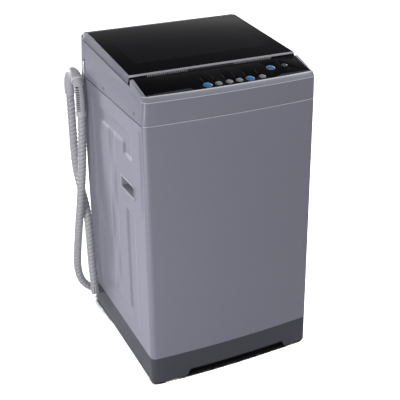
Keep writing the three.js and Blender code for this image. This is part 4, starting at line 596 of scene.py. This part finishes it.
def painted_steel(name, colour):
    """Sheet steel under a satin metallic grey powder coat: flakes, orange peel, faint clouds and a painted
    highlight along the front's top edge.
    """
    paint = Finish(name, metallic=0.1, specular_ior_level=0.25)
    flakes = paint.node("TexVoronoi", {}, {"Vector": paint.place(), "Scale": 1400.0}, output=1)
    glint = paint.node("SeparateColor", {}, {"Color": flakes})
    clouds = paint.noise(6.0, 3.0)
    flaked = paint.mix(glint, tinted(colour, 0.93), tinted(colour, 1.07))
    clouded = paint.mix(clouds * 0.08, flaked, tinted(colour, 0.8))
    _, along, up = paint.axes()
    # Painted highlight: a bright line along the top of the front, under the cover.
    edge_highlight = (up > SHELL_TOP - EDGE_HIGHLIGHT_WIDTH) * (along < front_zone)
    paint.surface(base_color=paint.mix(edge_highlight, clouded, EDGE_HIGHLIGHT_COLOUR),
                  roughness=0.46 + (clouds - 0.5) * 0.08)
    paint.relief(paint.noise(420.0, 1.0), 0.00006)
    return paint.material


SILVER_GREY = (0.26, 0.26, 0.325)
shell_paint = painted_steel("silver_grey_paint", SILVER_GREY)
shell.data.materials.append(shell_paint)
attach(shell, "cabinet")
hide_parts("cabinet_shell")

# Four folded gussets are welded across the shell's corners near its top. The tub's rods hang from them.
GUSSET_Z, GUSSET_THICKNESS, GUSSET_LEG, GUSSET_CLIP = 0.782, 0.002, 0.115, 0.012
ROD_X, ROD_Y, ROD_HOLE = 0.215, 0.218, 0.0046
CORNERS = {"front_left": (-1, -1), "front_right": (1, -1), "rear_left": (-1, 1), "rear_right": (1, 1)}


def from_solid(name, solid):
    """A new object from a bmesh, which is then freed."""
    mesh = bpy.data.meshes.new(name)
    solid.to_mesh(mesh)
    solid.free()
    return placed(name, mesh)


def closed_plate(name, rings, low, high):
    """A flat plate between two heights, from an outline and its holes in plan."""
    sheet = bmesh.new()
    edges = []
    for ring in rings:
        corners = [sheet.verts.new((*place, low)) for place in ring]
        edges += [sheet.edges.new((corners[i - 1], corners[i])) for i in range(len(corners))]
    bmesh.ops.triangle_fill(sheet, edges=edges, use_beauty=True, use_dissolve=False)
    raised = bmesh.ops.extrude_face_region(sheet, geom=sheet.faces[:])["geom"]
    upper = [corner for corner in raised if isinstance(corner, bmesh.types.BMVert)]
    bmesh.ops.translate(sheet, verts=upper, vec=(0, 0, high - low))
    bmesh.ops.recalc_face_normals(sheet, faces=sheet.faces)
    return from_solid(name, sheet)


for corner, (side, end) in CORNERS.items():
    wall_x, wall_y = side * (SHELL_X - SHEET), end * (SHELL_Y - SHEET)
    triangle = [(wall_x - side * GUSSET_CLIP, wall_y), (wall_x - side * GUSSET_LEG, wall_y),
                (wall_x, wall_y - end * GUSSET_LEG), (wall_x, wall_y - end * GUSSET_CLIP)]
    hole = [(side * ROD_X + ROD_HOLE * cos(t), end * ROD_Y + ROD_HOLE * sin(t))
            for t in np.linspace(0, 2 * pi, 16, endpoint=False)]
    gusset = closed_plate("gusset_" + corner, [triangle, hole], GUSSET_Z, GUSSET_Z + GUSSET_THICKNESS)
    gusset.data.materials.append(shell_paint)
    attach(gusset, "cabinet")

# ---- Rear panel, hand grips and cord gland ----
# The rear opening is closed by a pressed panel of zinc-coated sheet, screwed on round its edge. Its beads
# stiffen it.
PANEL = (-0.209, 0.209, 0.138, 0.752)
PANEL_COLUMNS, PANEL_ROWS = 105, 155
PANEL_FACE, PANEL_SHEET = 0.2615, 0.0009
FIELD_DEPTH, BEAD_RISE, BEAD_WALL = 0.004, 0.0032, 0.006
PANEL_FIELD = (-0.178, 0.178, 0.170, 0.720)
BEADS = [(-0.150, 0.150, low, low + 0.026) for low in (0.215, 0.305, 0.395, 0.485, 0.575, 0.650)]
SCREW_HEAD, SCREW_RISE, SCREW_SEAT = 0.0042, 0.0021, 0.0001
panel_x, panel_z = np.meshgrid(np.linspace(*PANEL[:2], PANEL_COLUMNS), np.linspace(*PANEL[2:], PANEL_ROWS))
field = patch(panel_x, panel_z, PANEL_FIELD, BEAD_WALL)
beads = sum(patch(panel_x, panel_z, bead, 2 * BEAD_WALL) for bead in BEADS)
panel_y = PANEL_FACE - FIELD_DEPTH * field + BEAD_RISE * beads
panel_points = np.stack([panel_x, panel_y, panel_z], axis=2).reshape(-1, 3)
panel_faces = grid_faces(PANEL_ROWS, PANEL_COLUMNS, around_columns=False)[:, ::-1]
rear_panel = mesh_piece("pressed_rear_panel", panel_points, panel_faces)
thicken(rear_panel, PANEL_SHEET)
shade_by_angle(rear_panel)

# The zinc is hot-dipped and has set in crystals, each with its own tone.
zinc = Finish("zinc_coat", metallic=0.45)
crystals = zinc.node("TexVoronoi", {}, {"Vector": zinc.place(), "Scale": 90.0}, output=1)
tone = zinc.node("SeparateColor", {}, {"Color": crystals})
zinc.surface(base_color=zinc.mix(tone, (0.36, 0.37, 0.385), (0.43, 0.44, 0.455)),
             roughness=tone * 0.06 + 0.58)
zinc.relief(zinc.noise(200.0, 1.0), 0.00002)
zinc_coat = zinc.material
rear_panel.data.materials.append(zinc_coat)
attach(rear_panel, "cabinet")
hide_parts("rear_panel")


def weld(piece, gap, outward=False):
    """Joins a piece's points that lie closer than a gap, and can turn its faces outward."""
    solid = bmesh.new()
    solid.from_mesh(piece.data)
    bmesh.ops.remove_doubles(solid, verts=solid.verts, dist=gap)
    if outward:
        bmesh.ops.recalc_face_normals(solid, faces=solid.faces)
    solid.to_mesh(piece.data)
    solid.free()


def lathe(name, profile, sides, place=(0, 0, 0), axis="Z"):
    """A closed ring or a solid of revolution: radius and height points turned about an axis."""
    turns = np.linspace(0, 2 * pi, sides, endpoint=False)
    radii, heights = np.array(profile, float).T
    ring = np.stack([radii[:, None] * np.cos(turns), radii[:, None] * np.sin(turns),
                     np.broadcast_to(heights[:, None], (len(radii), sides))], axis=2)
    if axis == "Y":
        ring = ring[:, :, [0, 2, 1]] * (-1, 1, 1)
    if axis == "X":
        ring = ring[:, :, [2, 1, 0]] * (1, 1, -1)
    hollow = radii[0] > 0 or radii[-1] > 0
    faces = grid_faces(len(radii), sides, around_rows=hollow)
    piece = mesh_piece(name, ring.reshape(-1, 3) + np.array(place), faces)
    if not hollow:
        weld(piece, 1e-6)
    shade_by_angle(piece)
    return piece


def joined(name, parts):
    """Several loose parts made into one piece."""
    bpy.context.view_layer.update()
    whole = bmesh.new()
    for part in parts:
        solid = part.data.copy()
        solid.transform(part.matrix_world)
        whole.from_mesh(solid)
        bpy.data.objects.remove(part)
    piece = from_solid(name, whole)
    shade_by_angle(piece)
    return piece


# Pan-head screws hold the panel.
screw_profile = [(0, 0), (SCREW_HEAD, 0), (SCREW_HEAD, 0.0006), (0.8 * SCREW_HEAD, 0.0016),
                 (0.45 * SCREW_HEAD, SCREW_RISE), (0.38 * SCREW_HEAD, 0.0011), (0, 0.0011)]
screw_places = [(x, z) for x in (-0.2, -0.07, 0.07, 0.2) for z in (0.147, 0.743)]
screw_places += [(x, z) for x in (-0.2, 0.2) for z in (0.30, 0.445, 0.59)]
screws = joined("panel_screws", [
    lathe("screw", screw_profile, 12, (x, PANEL_FACE - SCREW_SEAT, z), "Y") for x, z in screw_places
])
screws.data.materials.append(zinc_coat)
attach(screws, "cabinet")

# A grey plastic cup is clipped into each side as a hand grip. Its inside is painted a darker grey as shade.
CUP_DEPTH = 0.002  # below the side, where the cup's inside begins
grip_plastic = Finish("grip_plastic", specular_ior_level=0.4)
grip_x = grip_plastic.axes()[0]
cup_shade_mask = grip_x.maths("ABSOLUTE", grip_x) < SHELL_X - CUP_DEPTH
# Painted shade: the inside of the cup is darker than its rim.
grip_plastic.surface(base_color=grip_plastic.mix(cup_shade_mask, (0.36, 0.36, 0.41), (0.3, 0.3, 0.35)),
                     roughness=grip_plastic.noise(40.0) * 0.1 + 0.36)
grip_plastic.grain()
for side in ("left", "right"):
    dress("hand_grip_" + side, grip_plastic.material, 0.0012, 3)
dress("cord_gland", black_rubber, 0.001)

# ---- Suspension ----
# The tub hangs on four zinc-plated rods. Each goes down from a gusset through an ear of the tub, and
# holds it up by a coil spring of steel wire between the ear and the rod's cap.
SPRING_FOOT, SPRING_HEAD = 0.2839, 0.3495
SPRING_RADIUS, WIRE_RADIUS, WIRE_SIDES = 0.010, 0.0018, 8
SPRING_COILS, COIL_STEPS = 5, 28
FLAT_SHARE = 0.09  # of the wire's length at each end, where the coils lie flat


def bare_steel(name, colour, stretch, roughness):
    """Bright steel with fine marks of drawing or brushing along it."""
    steel = Finish(name, metallic=1.0)
    marks = steel.noise(90.0, 4.0, stretch)
    steel.surface(base_color=steel.mix(marks, colour, tinted(colour, 0.82)),
                  roughness=marks * 0.2 + roughness)
    steel.relief(marks, 0.00003)
    return steel.material


spring_wire = bare_steel("spring_wire", (0.45, 0.46, 0.48), (1, 1, 1), 0.26)
wire_turns = np.linspace(0, 2 * pi, WIRE_SIDES, endpoint=False)
wire_share = np.linspace(0, 1, SPRING_COILS * COIL_STEPS)
coil_turns = 2 * pi * SPRING_COILS * wire_share
coil_climb = np.clip((wire_share - FLAT_SHARE) / (1 - 2 * FLAT_SHARE), 0, 1)
coil_z = SPRING_FOOT + WIRE_RADIUS + (SPRING_HEAD - SPRING_FOOT - 2 * WIRE_RADIUS) * coil_climb
for corner, (side, end) in CORNERS.items():
    dress("hanger_rod_" + corner, zinc_coat, 0.0008)
    coil_x = side * ROD_X + SPRING_RADIUS * np.cos(coil_turns)
    coil_y = end * ROD_Y + SPRING_RADIUS * np.sin(coil_turns)
    coil = np.stack([coil_x, coil_y, coil_z], axis=1)
    wire = skin(coil, *across(coil, (0, 0, 1)), np.full((len(coil), 1), WIRE_RADIUS), wire_turns)
    spring = mesh_piece("coil_spring_" + corner, wire, capped_tube(len(coil), WIRE_SIDES))
    spring.data.materials.append(spring_wire)
    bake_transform(spring)
    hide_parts("hanger_spring_" + corner)

# ---- Tub ----
# The outer tub is a deep bucket of white polypropylene with an ear at each rod and a port for the drain.
# A ring closes the gap over the basket, and a rubber seal keeps the water off the bearing.
white_plastic = moulded_plastic("white_polypropylene", (0.6, 0.61, 0.62), 0.45)
dress("outer_tub", white_plastic, 0.0015)
dress("tub_ring", white_plastic, 0.0012)
dress("tub_seal", black_rubber, 0.0006)

# ---- Basket ----
# The basket is rolled from stainless sheet and punched all over with drain holes, with a slot at the back
# for the filter. The balance ring on its rim is a hollow moulding with brine sealed in it.
BASKET_Y = 0.022
BASKET_RADIUS, BASKET_WALL = 0.189, 0.0018
BASKET_FLOOR, BASKET_RIM = 0.334, 0.732
BASKET_ROUND = 0.024
HUB_HOLE = 0.031
PUNCH_COLUMNS, PUNCH_ROWS = 96, 28
PUNCH_LOW, PUNCH_HIGH = 0.372, 0.708
PUNCH_RADIUS = 0.0026
SLOT_HALF, SLOT_LOW, SLOT_HIGH = 0.0423, 0.4377, 0.5883
SLOT_BORDER = 0.009  # of plain sheet, each side of the slot


def on_wall(turn, z, radius=BASKET_RADIUS):
    return (radius * cos(turn), BASKET_Y + radius * sin(turn), z)


def basket_wall():
    """The wall between the lowest and highest rows, each second cell round a punched hole."""
    lift = (PUNCH_HIGH - PUNCH_LOW) / PUNCH_ROWS
    swing = 2 * pi / PUNCH_COLUMNS
    places = [on_wall(column * swing, PUNCH_LOW + row * lift)
              for row in range(PUNCH_ROWS + 1) for column in range(PUNCH_COLUMNS)]
    faces = []
    for cell, corners in enumerate(grid_faces(PUNCH_ROWS + 1, PUNCH_COLUMNS)):
        row, column = divmod(cell, PUNCH_COLUMNS)
        turn, z = (column + 0.5) * swing, PUNCH_LOW + (row + 0.5) * lift
        aside = abs(BASKET_RADIUS * cos(turn)) if sin(turn) > 0 else BASKET_RADIUS
        at_slot = aside < SLOT_HALF + SLOT_BORDER and SLOT_LOW - lift < z < SLOT_HIGH + lift
        if aside < SLOT_HALF and SLOT_LOW < z < SLOT_HIGH:
            continue
        if (row + column) % 2 or at_slot:
            faces.append(corners)
            continue
        start = len(places)
        for bearing in np.radians(np.arange(-135, 225, 45)):
            beside, above = PUNCH_RADIUS * cos(bearing), PUNCH_RADIUS * sin(bearing)
            places.append(on_wall(turn + beside / BASKET_RADIUS, z + above))
        for k in range(4):
            here, after = corners[k], corners[(k + 1) % 4]
            first, second, third = start + 2 * k, start + 2 * k + 1, start + (2 * k + 2) % 8
            faces += [(here, after, second), (here, second, first), (after, third, second)]
    return mesh_piece("punched_basket_wall", places, faces)


def basket_band(name, profile):
    """A plain band of the basket, its columns in line with the punched wall's."""
    turns = np.linspace(0, 2 * pi, PUNCH_COLUMNS, endpoint=False)
    return mesh_piece(name, [on_wall(t, z, r) for r, z in profile for t in turns],
                      grid_faces(len(profile), PUNCH_COLUMNS))


floor_profile = [(radius, BASKET_FLOOR) for radius in (HUB_HOLE, 0.08, 0.13)]
floor_profile += [
    (BASKET_RADIUS - BASKET_ROUND * (1 - sin(t)), BASKET_FLOOR + BASKET_ROUND * (1 - cos(t)))
    for t in np.linspace(0, pi / 2, 9)
]
basket = joined("stainless_basket", [
    basket_wall(), basket_band("basket_floor", floor_profile + [(BASKET_RADIUS, PUNCH_LOW)]),
    basket_band("basket_band", [(BASKET_RADIUS, PUNCH_HIGH), (BASKET_RADIUS, BASKET_RIM)]),
])
weld(basket, 1e-5, outward=True)
thicken(basket, BASKET_WALL).use_even_offset = True
basket.modifiers.move(len(basket.modifiers) - 1, 0)
stainless = bare_steel("brushed_stainless", (0.60, 0.60, 0.61), (1, 1, 14), 0.24)
basket.data.materials.append(stainless)
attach(basket, "basket")
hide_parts("basket")
dress("balance_ring", white_plastic, 0.0015, 3)

# The hub is die-cast in aluminium, which has a dull and faintly mottled skin.
alloy = Finish("cast_aluminium", metallic=0.85)
mottle = alloy.noise(220.0, 4.0)
alloy.surface(base_color=alloy.mix(mottle, (0.50, 0.50, 0.51), (0.36, 0.36, 0.38)),
              roughness=mottle * 0.25 + 0.42)
alloy.relief(mottle, 0.0002)
cast_aluminium = alloy.material
dress("basket_hub", cast_aluminium, 0.0012)
dress("lint_filter", white_plastic, 0.0015)

# ---- Pulsator and drive ----
# The ribbed disc in the basket's floor washes; its steel shaft runs down through the hollow spin shaft to
# the gearbox. A motor beside it turns the large pulley by a rubber belt, all on a zinc-coated cross plate.
dress("pulsator", white_plastic, 0.002, 3)
dress("wash_shaft", stainless, 0.0006)
dress("drive_support", zinc_coat, 0.001)
for part in ("gearbox", "drive_motor", "driven_pulley", "motor_pulley"):
    dress(part, cast_aluminium, 0.0012)
dress("drive_belt", black_rubber, 0.0006)

# ---- Water: pump, bellows, valve and sensor ----
# A pump in the base empties the tub through rubber bellows, which take up the tub's swing. The inlet
# valve and the pressure sensor for the water level sit under the back of the top cover.
BELLOWS_PLACE = (-0.140, 0.140)
BELLOWS_FOOT, BELLOWS_HEAD = 0.0816, 0.2847
BELLOWS_NECK, BELLOWS_FOLD, BELLOWS_WALL = 0.0165, 0.005, 0.002
BELLOWS_WAVES, WAVE_STEPS, BELLOWS_SIDES = 8, 8, 32
dress("drain_pump", white_plastic, 0.001)
wave_share = np.linspace(0, 1, BELLOWS_WAVES * WAVE_STEPS + 1)
wave_radii = BELLOWS_NECK + BELLOWS_FOLD * (0.5 - 0.5 * np.cos(2 * pi * BELLOWS_WAVES * wave_share))
wave_heights = BELLOWS_FOOT + (BELLOWS_HEAD - BELLOWS_FOOT) * wave_share
bellows_outside = [*zip(wave_radii, wave_heights)]
bellows_inside = [*zip(wave_radii - BELLOWS_WALL, wave_heights)][::-1]
bellows = lathe("tub_bellows", bellows_outside + bellows_inside, BELLOWS_SIDES, (*BELLOWS_PLACE, 0))
bellows.data.materials.append(black_rubber)
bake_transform(bellows)
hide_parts("drain_bellows")
dress("inlet_valve", white_plastic, 0.001)
dress("water_spout", white_plastic, 0.001)
dress("level_sensor", black_plastic, 0.001)

# ---- Top cover ----
# One moulding of silver grey ABS closes the cabinet. It slopes down to the front, where thin bright lines
# are painted along the two edges of a bevel as highlights, and its collar holds the water back from the
# cabinet.
SILVER, HIGHLIGHT_SILVER = (0.245, 0.245, 0.31), (0.62, 0.62, 0.68)
BROW_TOP, CROWN = 0.872, 0.885  # the lower and upper edges of the front bevel
HIGHLIGHT_HALF = 0.0007
cover_plastic = Finish("silver_abs", specular_ior_level=0.45)
_, cover_y, cover_z = cover_plastic.axes()
# Painted highlights: bright lines along the lower and upper edges of the front bevel.
painted_highlights = [(cover_z > line - HIGHLIGHT_HALF) * (cover_z < line + HIGHLIGHT_HALF) for line in (BROW_TOP, CROWN)]
highlight_mask = (painted_highlights[0] + painted_highlights[1]) * (cover_y < -flat_y)
cover_plastic.surface(base_color=cover_plastic.mix(highlight_mask, SILVER, HIGHLIGHT_SILVER),
                      roughness=cover_plastic.noise(14.0, 3.0) * 0.1 + 0.17)
cover_plastic.grain(0.000006)
dress("top_cover", cover_plastic.material, 0.0022, 3)

# ---- Control panel ----
# A gloss black strip over the cover's slope, printed with a grey band along its front. Eight keys come up
# through it from the circuit board below, each but the power key in a thin bright ring.
FASCIA_SLOPE = radians(11.98)
FASCIA_REAR, FASCIA_RISE = -0.165, (0.885, 0.906)
FASCIA_INSET, FASCIA_TOUCH = 0.005, 0.0001  # behind the front line, and under what sits on the strip
FASCIA_BLACK, BAND_GREY = (0.0045, 0.0045, 0.0055), (0.045, 0.045, 0.056)
BAND_REAR, BAND_DEPTH = -0.2455, 0.0165
BAND_LEFT_END, BAND_RIGHT_END = -0.117, 0.119
BAND_LEFT_SLANT, BAND_RIGHT_SLANT = 0.75, 2.1
fascia_gloss = Finish("black_gloss", specular_ior_level=0.004)
across_fascia, up_fascia, _ = fascia_gloss.axes()
in_front = BAND_REAR - up_fascia
left_band = across_fascia < BAND_LEFT_END + in_front * BAND_LEFT_SLANT
right_band = across_fascia > BAND_RIGHT_END + (BAND_DEPTH - in_front) * BAND_RIGHT_SLANT
band = (in_front > 0) * (left_band + right_band)
fascia_gloss.surface(base_color=fascia_gloss.mix(band, FASCIA_BLACK, BAND_GREY),
                     roughness=band * 0.2 + fascia_gloss.noise(20.0) * 0.06 + 0.1)
dress("control_fascia", fascia_gloss.material, 0.0006)


def on_fascia(x, y):
    """Where a part sits on the sloping strip, square to it."""
    front = front_line(x) + FASCIA_INSET
    foot, head = FASCIA_RISE
    z = foot + (head - foot) * (y - front) / (FASCIA_REAR - front)
    tilt = Matrix.Rotation(FASCIA_SLOPE, 4, "X") @ Matrix.Translation((0, 0, FASCIA_TOUCH))
    return Matrix.Translation((x, y, z)) @ tilt


def key_plastic(name, colour, gloss):
    """Key caps and lenses with a soft shine under a thin clear coat, and a faint haze in their colour."""
    cap = Finish(name, coat_weight=0.05, coat_roughness=0.2, specular_ior_level=0.2)
    haze = cap.noise(180.0)
    cap.surface(base_color=cap.mix(haze * 0.25, colour, tinted(colour, 1.35)), roughness=haze * 0.08 + gloss)
    return cap.material


blue_key = key_plastic("blue_key", (0.006, 0.145, 0.37), 0.2)
grey_key = key_plastic("grey_key", (0.2, 0.2, 0.22), 0.28)
dark_key = key_plastic("dark_key", (0.022, 0.022, 0.027), 0.25)
dark_chrome = bare_steel("dark_chrome", (0.22, 0.22, 0.24), (1, 1, 1), 0.25)
BACK_ROW, FRONT_ROW = -0.208, -0.245
LARGE_KEY, SMALL_KEY = 0.011, 0.0085
RING_GAP, RING_WIDTH, RING_RISE, RING_CHAMFER = 0.0004, 0.0009, 0.0008, 0.0004
KEYS = {
    "power": (0.183, BACK_ROW, SMALL_KEY, dark_key), "start": (0.140, BACK_ROW, LARGE_KEY, blue_key),
    "spin": (0.095, FRONT_ROW, SMALL_KEY, grey_key), "cycle": (0.058, FRONT_ROW, LARGE_KEY, blue_key),
    "rinse": (0.026, FRONT_ROW, SMALL_KEY, grey_key), "wash": (-0.004, FRONT_ROW, SMALL_KEY, grey_key),
    "level": (-0.035, FRONT_ROW, SMALL_KEY, grey_key), "delay": (-0.067, FRONT_ROW, LARGE_KEY, blue_key),
}
rings = []
for key, (x, y, radius, cap_finish) in KEYS.items():
    dress(key + "_button", cap_finish, 0.0006, 3)
    if key == "power":
        continue
    inner = radius + RING_GAP
    outer = inner + RING_WIDTH
    ring_profile = [(inner, 0), (outer, 0), (outer, RING_RISE - RING_CHAMFER),
                    (outer - RING_CHAMFER, RING_RISE), (inner, RING_RISE)]
    ring = lathe("ring_" + key, ring_profile, 32)
    ring.matrix_world = on_fascia(x, y)
    rings.append(ring)
key_rings = joined("key_rings", rings)
key_rings.data.materials.append(dark_chrome)
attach(key_rings, "cabinet")

# Small clear lenses over the lamps that show the program's steps, in a column behind each front key.
LENS_ROWS = (-0.222, -0.2145, -0.207)
LENS_ASIDE = 0.004
lens_profile = [(0, 0), (0.0011, 0), (0.0010, 0.0003), (0.0006, 0.0005), (0, 0.00055)]
lenses = []
for x, row, _, _ in KEYS.values():
    if row == BACK_ROW:
        continue
    for y in LENS_ROWS:
        lens = lathe("lens", lens_profile, 12)
        lens.matrix_world = on_fascia(x - LENS_ASIDE, y)
        lenses.append(lens)
lamp_lenses = joined("lamp_lenses", lenses)
lamp_lenses.data.materials.append(key_plastic("lamp_lens", (0.12, 0.12, 0.13), 0.15))
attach(lamp_lenses, "cabinet")

# The circuit board is green with solder mask, lighter over its copper tracks, and has tinned pads.
board = Finish("solder_mask", roughness=0.4)
to_edge = board.node("TexVoronoi", {"feature": "DISTANCE_TO_EDGE"},
                     {"Vector": board.place(), "Scale": 220.0})
pads = board.node("TexVoronoi", {}, {"Vector": board.place(), "Scale": 260.0}) < 0.16
tracks = board.mix(to_edge < 0.06, (0.01, 0.09, 0.03), (0.03, 0.17, 0.06))
board.surface(base_color=board.mix(pads, tracks, (0.55, 0.55, 0.52)), metallic=pads * 0.8)
dress("control_board", board.material, 0.0004)

# ---- Lid ----
# The lid is a frame of silver grey ABS with a pane of smoked glass let into it, clear only in the middle.
# Its front edge has a bright lip, with vents under it each side of a plain finger bar. Black is painted as
# shade behind the vents, and along the foot of its sides, where the seam to the cover lies in shadow.
LID_FRONT, LID_SKIN = -0.1500, 0.002
LIP_FOOT = 0.9082
SEAM_SHADE_TOP, RIM_SLOPE = 0.8909, 0.0718  # at the lid's front, and how the rim it closes on rises behind it
VENTS = ((-0.197, -0.079), (0.058, 0.176))
VENT_FOOT, VENT_HEAD, VENT_CHAMFER = 0.8925, 0.9075, 0.001
VENT_TOOTH, VENT_PITCH, VENT_ROOT, VENT_FACE = 0.0027, 0.0054, -0.1498, -0.1514
LID_GREY, LIP_SILVER = (0.14, 0.14, 0.18), (0.5, 0.5, 0.55)
# Black painted as shade behind the vents and along the seam, and the finger bar's own dark grey.
PAINTED_SHADE_BLACK, BAR_GREY = (0.006, 0.006, 0.008), (0.06, 0.06, 0.07)
lid_plastic = Finish("lid_abs", specular_ior_level=0.05)
lid_x, lid_y, lid_z = lid_plastic.axes()
lid_front = lid_y < LID_FRONT + LID_SKIN
under_lip = lid_front * (lid_z < LIP_FOOT)
finger_bar = under_lip * (lid_x > VENTS[0][1]) * (lid_x < VENTS[1][0])
# Painted shade: a black band along the foot of the frame, for the shadowed seam to the cover.
seam_shade = lid_z < (lid_y - LID_FRONT) * RIM_SLOPE + SEAM_SHADE_TOP
silver = lid_plastic.mix(lid_front * (lid_z > LIP_FOOT), LID_GREY, LIP_SILVER)
# Painted shade: black behind the vents under the lip and along the foot of the frame.
shaded = lid_plastic.mix(under_lip + seam_shade, silver, PAINTED_SHADE_BLACK)
lid_plastic.surface(base_color=lid_plastic.mix(finger_bar, shaded, BAR_GREY),
                    roughness=lid_plastic.noise(14.0) * 0.1 + 0.55)
lid_plastic.grain()
dress("lid_frame", lid_plastic.material, 0.0008)
tooth_profile = [(VENT_ROOT, VENT_HEAD), (VENT_FACE, VENT_HEAD - VENT_CHAMFER),
                 (VENT_FACE, VENT_FOOT + VENT_CHAMFER), (VENT_ROOT, VENT_FOOT)]
teeth = []
for start, end in VENTS:
    for x in np.arange(start, end, VENT_PITCH):
        corners = [(x + side, y, z) for side in (-VENT_TOOTH / 2, VENT_TOOTH / 2) for y, z in tooth_profile]
        teeth.append(mesh_piece("tooth", corners, capped_tube(2, 4)))
vent_teeth = joined("vent_teeth", teeth)
# The teeth are a lighter grey than the lid: painted light that lifts them out of the shade under the lip.
vent_teeth.data.materials.append(moulded_plastic("vent_teeth_lit_grey", (0.42, 0.42, 0.46), 0.4))
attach(vent_teeth, "lid")

# The pane is printed black round its edge on the inside.
PANE_CLEAR = (-0.205, 0.205, -0.075, 0.128)
PANE_BLACK, SMOKE, SMOKE_CLEARNESS = (0.006, 0.006, 0.0075), (0.013, 0.013, 0.016), 0.12
smoked_glass = Finish("smoked_glass", specular_ior_level=0.004)
pane_x, pane_y, _ = smoked_glass.axes()
left, right, front, rear = PANE_CLEAR
clear = (pane_x > left) * (pane_x < right) * (pane_y > front) * (pane_y < rear)
smoked_glass.surface(base_color=smoked_glass.mix(clear, PANE_BLACK, SMOKE),
                     alpha=1 - clear * SMOKE_CLEARNESS,
                     roughness=smoked_glass.noise(9.0, 3.0) * 0.05 + 0.05)
dress("lid_glass", smoked_glass.material, 0.0012, 3)
for part, material in (("hinge_pin_left", stainless), ("hinge_pin_right", stainless),
                       ("lid_magnet", black_plastic), ("lid_switch", black_plastic)):
    dress(part, material, 0.0006)

# Round plugs close the screw holes in the cover's sides, which lean in a little.
COVER_FOOT, COVER_LEAN = 0.808, 0.06
plug_profile = [(0, 0.0), (0.0048, 0.0), (0.0048, 0.0004), (0.0041, 0.0008), (0.0033, 0.0002), (0, 0.0002)]
plugs = []
for side in (-1, 1):
    outward = [(radius, side * height) for radius, height in plug_profile[::side]]
    for y, z in ((0.047, 0.821), (-0.192, 0.824)):
        x = side * (SHELL_X - COVER_LEAN * (z - COVER_FOOT))
        plugs.append(lathe("plug", outward, 20, (x, y, z), "X"))
screw_plugs = joined("screw_plugs", plugs)
screw_plugs.data.materials.append(moulded_plastic("plug_grey", (0.11, 0.11, 0.135), 0.5))
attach(screw_plugs, "cabinet")

# ---- Floor and light ----
# A white floor under a white sky, dark only close under the machine. A narrow lamp rakes along the left
# side from behind, to show its pressing. A wide one stands off that side, one strip lights its front edge
# and another the cover from above, and a weak sun lights the back and the right.
FLOOR_HALF = 40
SHADE_REACH, OPEN_SHARE, SHADE_SHARPNESS = 0.3, 0.41, 10
SHADE_BLACK, SHOWN_WHITE, MATT_WHITE, GLOSSY_WHITE = [(tone,) * 3 for tone in (0.01, 4.8, 0.8, 1.3)]
floor_corners = [(x * FLOOR_HALF, y * FLOOR_HALF, 0) for x, y in ((-1, -1), (1, -1), (1, 1), (-1, 1))]
floor = mesh_piece("floor", floor_corners, [(0, 1, 2, 3)])
floor_paint = Finish("floor_paint")
reflected, seen = [floor_paint.node("LightPath", output=f"Is {kind} Ray") for kind in ("Glossy", "Camera")]
open_air = floor_paint.node("AmbientOcclusion", {}, {"Distance": SHADE_REACH}, output=1)
shown = floor_paint.mix((open_air - OPEN_SHARE) * SHADE_SHARPNESS, SHADE_BLACK, SHOWN_WHITE)
plain = floor_paint.mix(reflected, MATT_WHITE, GLOSSY_WHITE)
chalk = floor_paint.node("BsdfDiffuse", {}, {"Color": floor_paint.mix(seen, plain, shown)})
floor_paint.feed(floor_paint.tree.nodes["Material Output"].inputs["Surface"], chalk)
floor.data.materials.append(floor_paint.material)


def lamp(name, kind, strength, place, aim, **settings):
    """A lamp of a kind that shines from a place towards its aim."""
    light = bpy.data.lights.new(name, kind)
    light.energy = strength
    for setting, value in settings.items():
        setattr(light, setting, value)
    source = placed(name, light)
    source.location = place
    source.rotation_euler = (Vector(aim) - Vector(place)).to_track_quat("-Z", "Y").to_euler()


def panel_lamp(name, strength, place, aim, width, height, spread=180):
    """A flat lamp, its width and height in metres, whose light spreads by an angle."""
    lamp(name, "AREA", strength, place, aim, shape="RECTANGLE", size=width, size_y=height,
         spread=radians(spread))


RAKE_ANGLE, RAKE_RISE = radians(16), radians(3)
RAKE_BACK, RAKE_SHIFT, RAKE_MIDDLE = 1.1, 0.028, 0.47
rake_aim = Vector((-SHELL_X - RAKE_SHIFT, 0, RAKE_MIDDLE))
rake_from = rake_aim + Vector((-sin(RAKE_ANGLE), cos(RAKE_ANGLE), sin(RAKE_RISE))) * RAKE_BACK
panel_lamp("raking_lamp", 1.45, rake_from, rake_aim, 0.27, 1.3, 8)
lamp("rear_lamp", "SUN", 1.5, (2.4, 1.9, 0.5), (0, 0, 0), angle=radians(15))
panel_lamp("side_lamp", 7.6, (-1.4, -0.62, 0.45), (-SHELL_X, -0.13, 0.5), 0.6, 0.6)
panel_lamp("edge_strip", 11, (-2.5, -1.25, 0.5), (-SHELL_X, -SHELL_Y, 0.8), 0.1, 1.0)
panel_lamp("overhead_strip", 20, (0.75, -0.86, 2.4), (0.75, -0.27, 0.88), 2.2, 0.14)

# The sky is dim as a light, and shows plain white to the camera, in gloss and through glass.
SKY_LEVEL = 0.22
sky = bpy.data.worlds.new("white_sky")
bpy.context.scene.world = sky
sky.use_nodes = True
sky_nodes, sky_light = Nodes(sky.node_tree), sky.node_tree.nodes["Background"]
rays = ("Camera", "Glossy", "Transmission")
seen, reflected, through_glass = [sky_nodes.node("LightPath", output=f"Is {ray} Ray") for ray in rays]
shown_white = seen.maths("MAXIMUM", seen.maths("MAXIMUM", seen, reflected), through_glass)
sky_nodes.feed(sky_light.inputs["Color"], (1, 1, 1))
sky_nodes.feed(sky_light.inputs["Strength"], shown_white * (1 - SKY_LEVEL) + SKY_LEVEL)
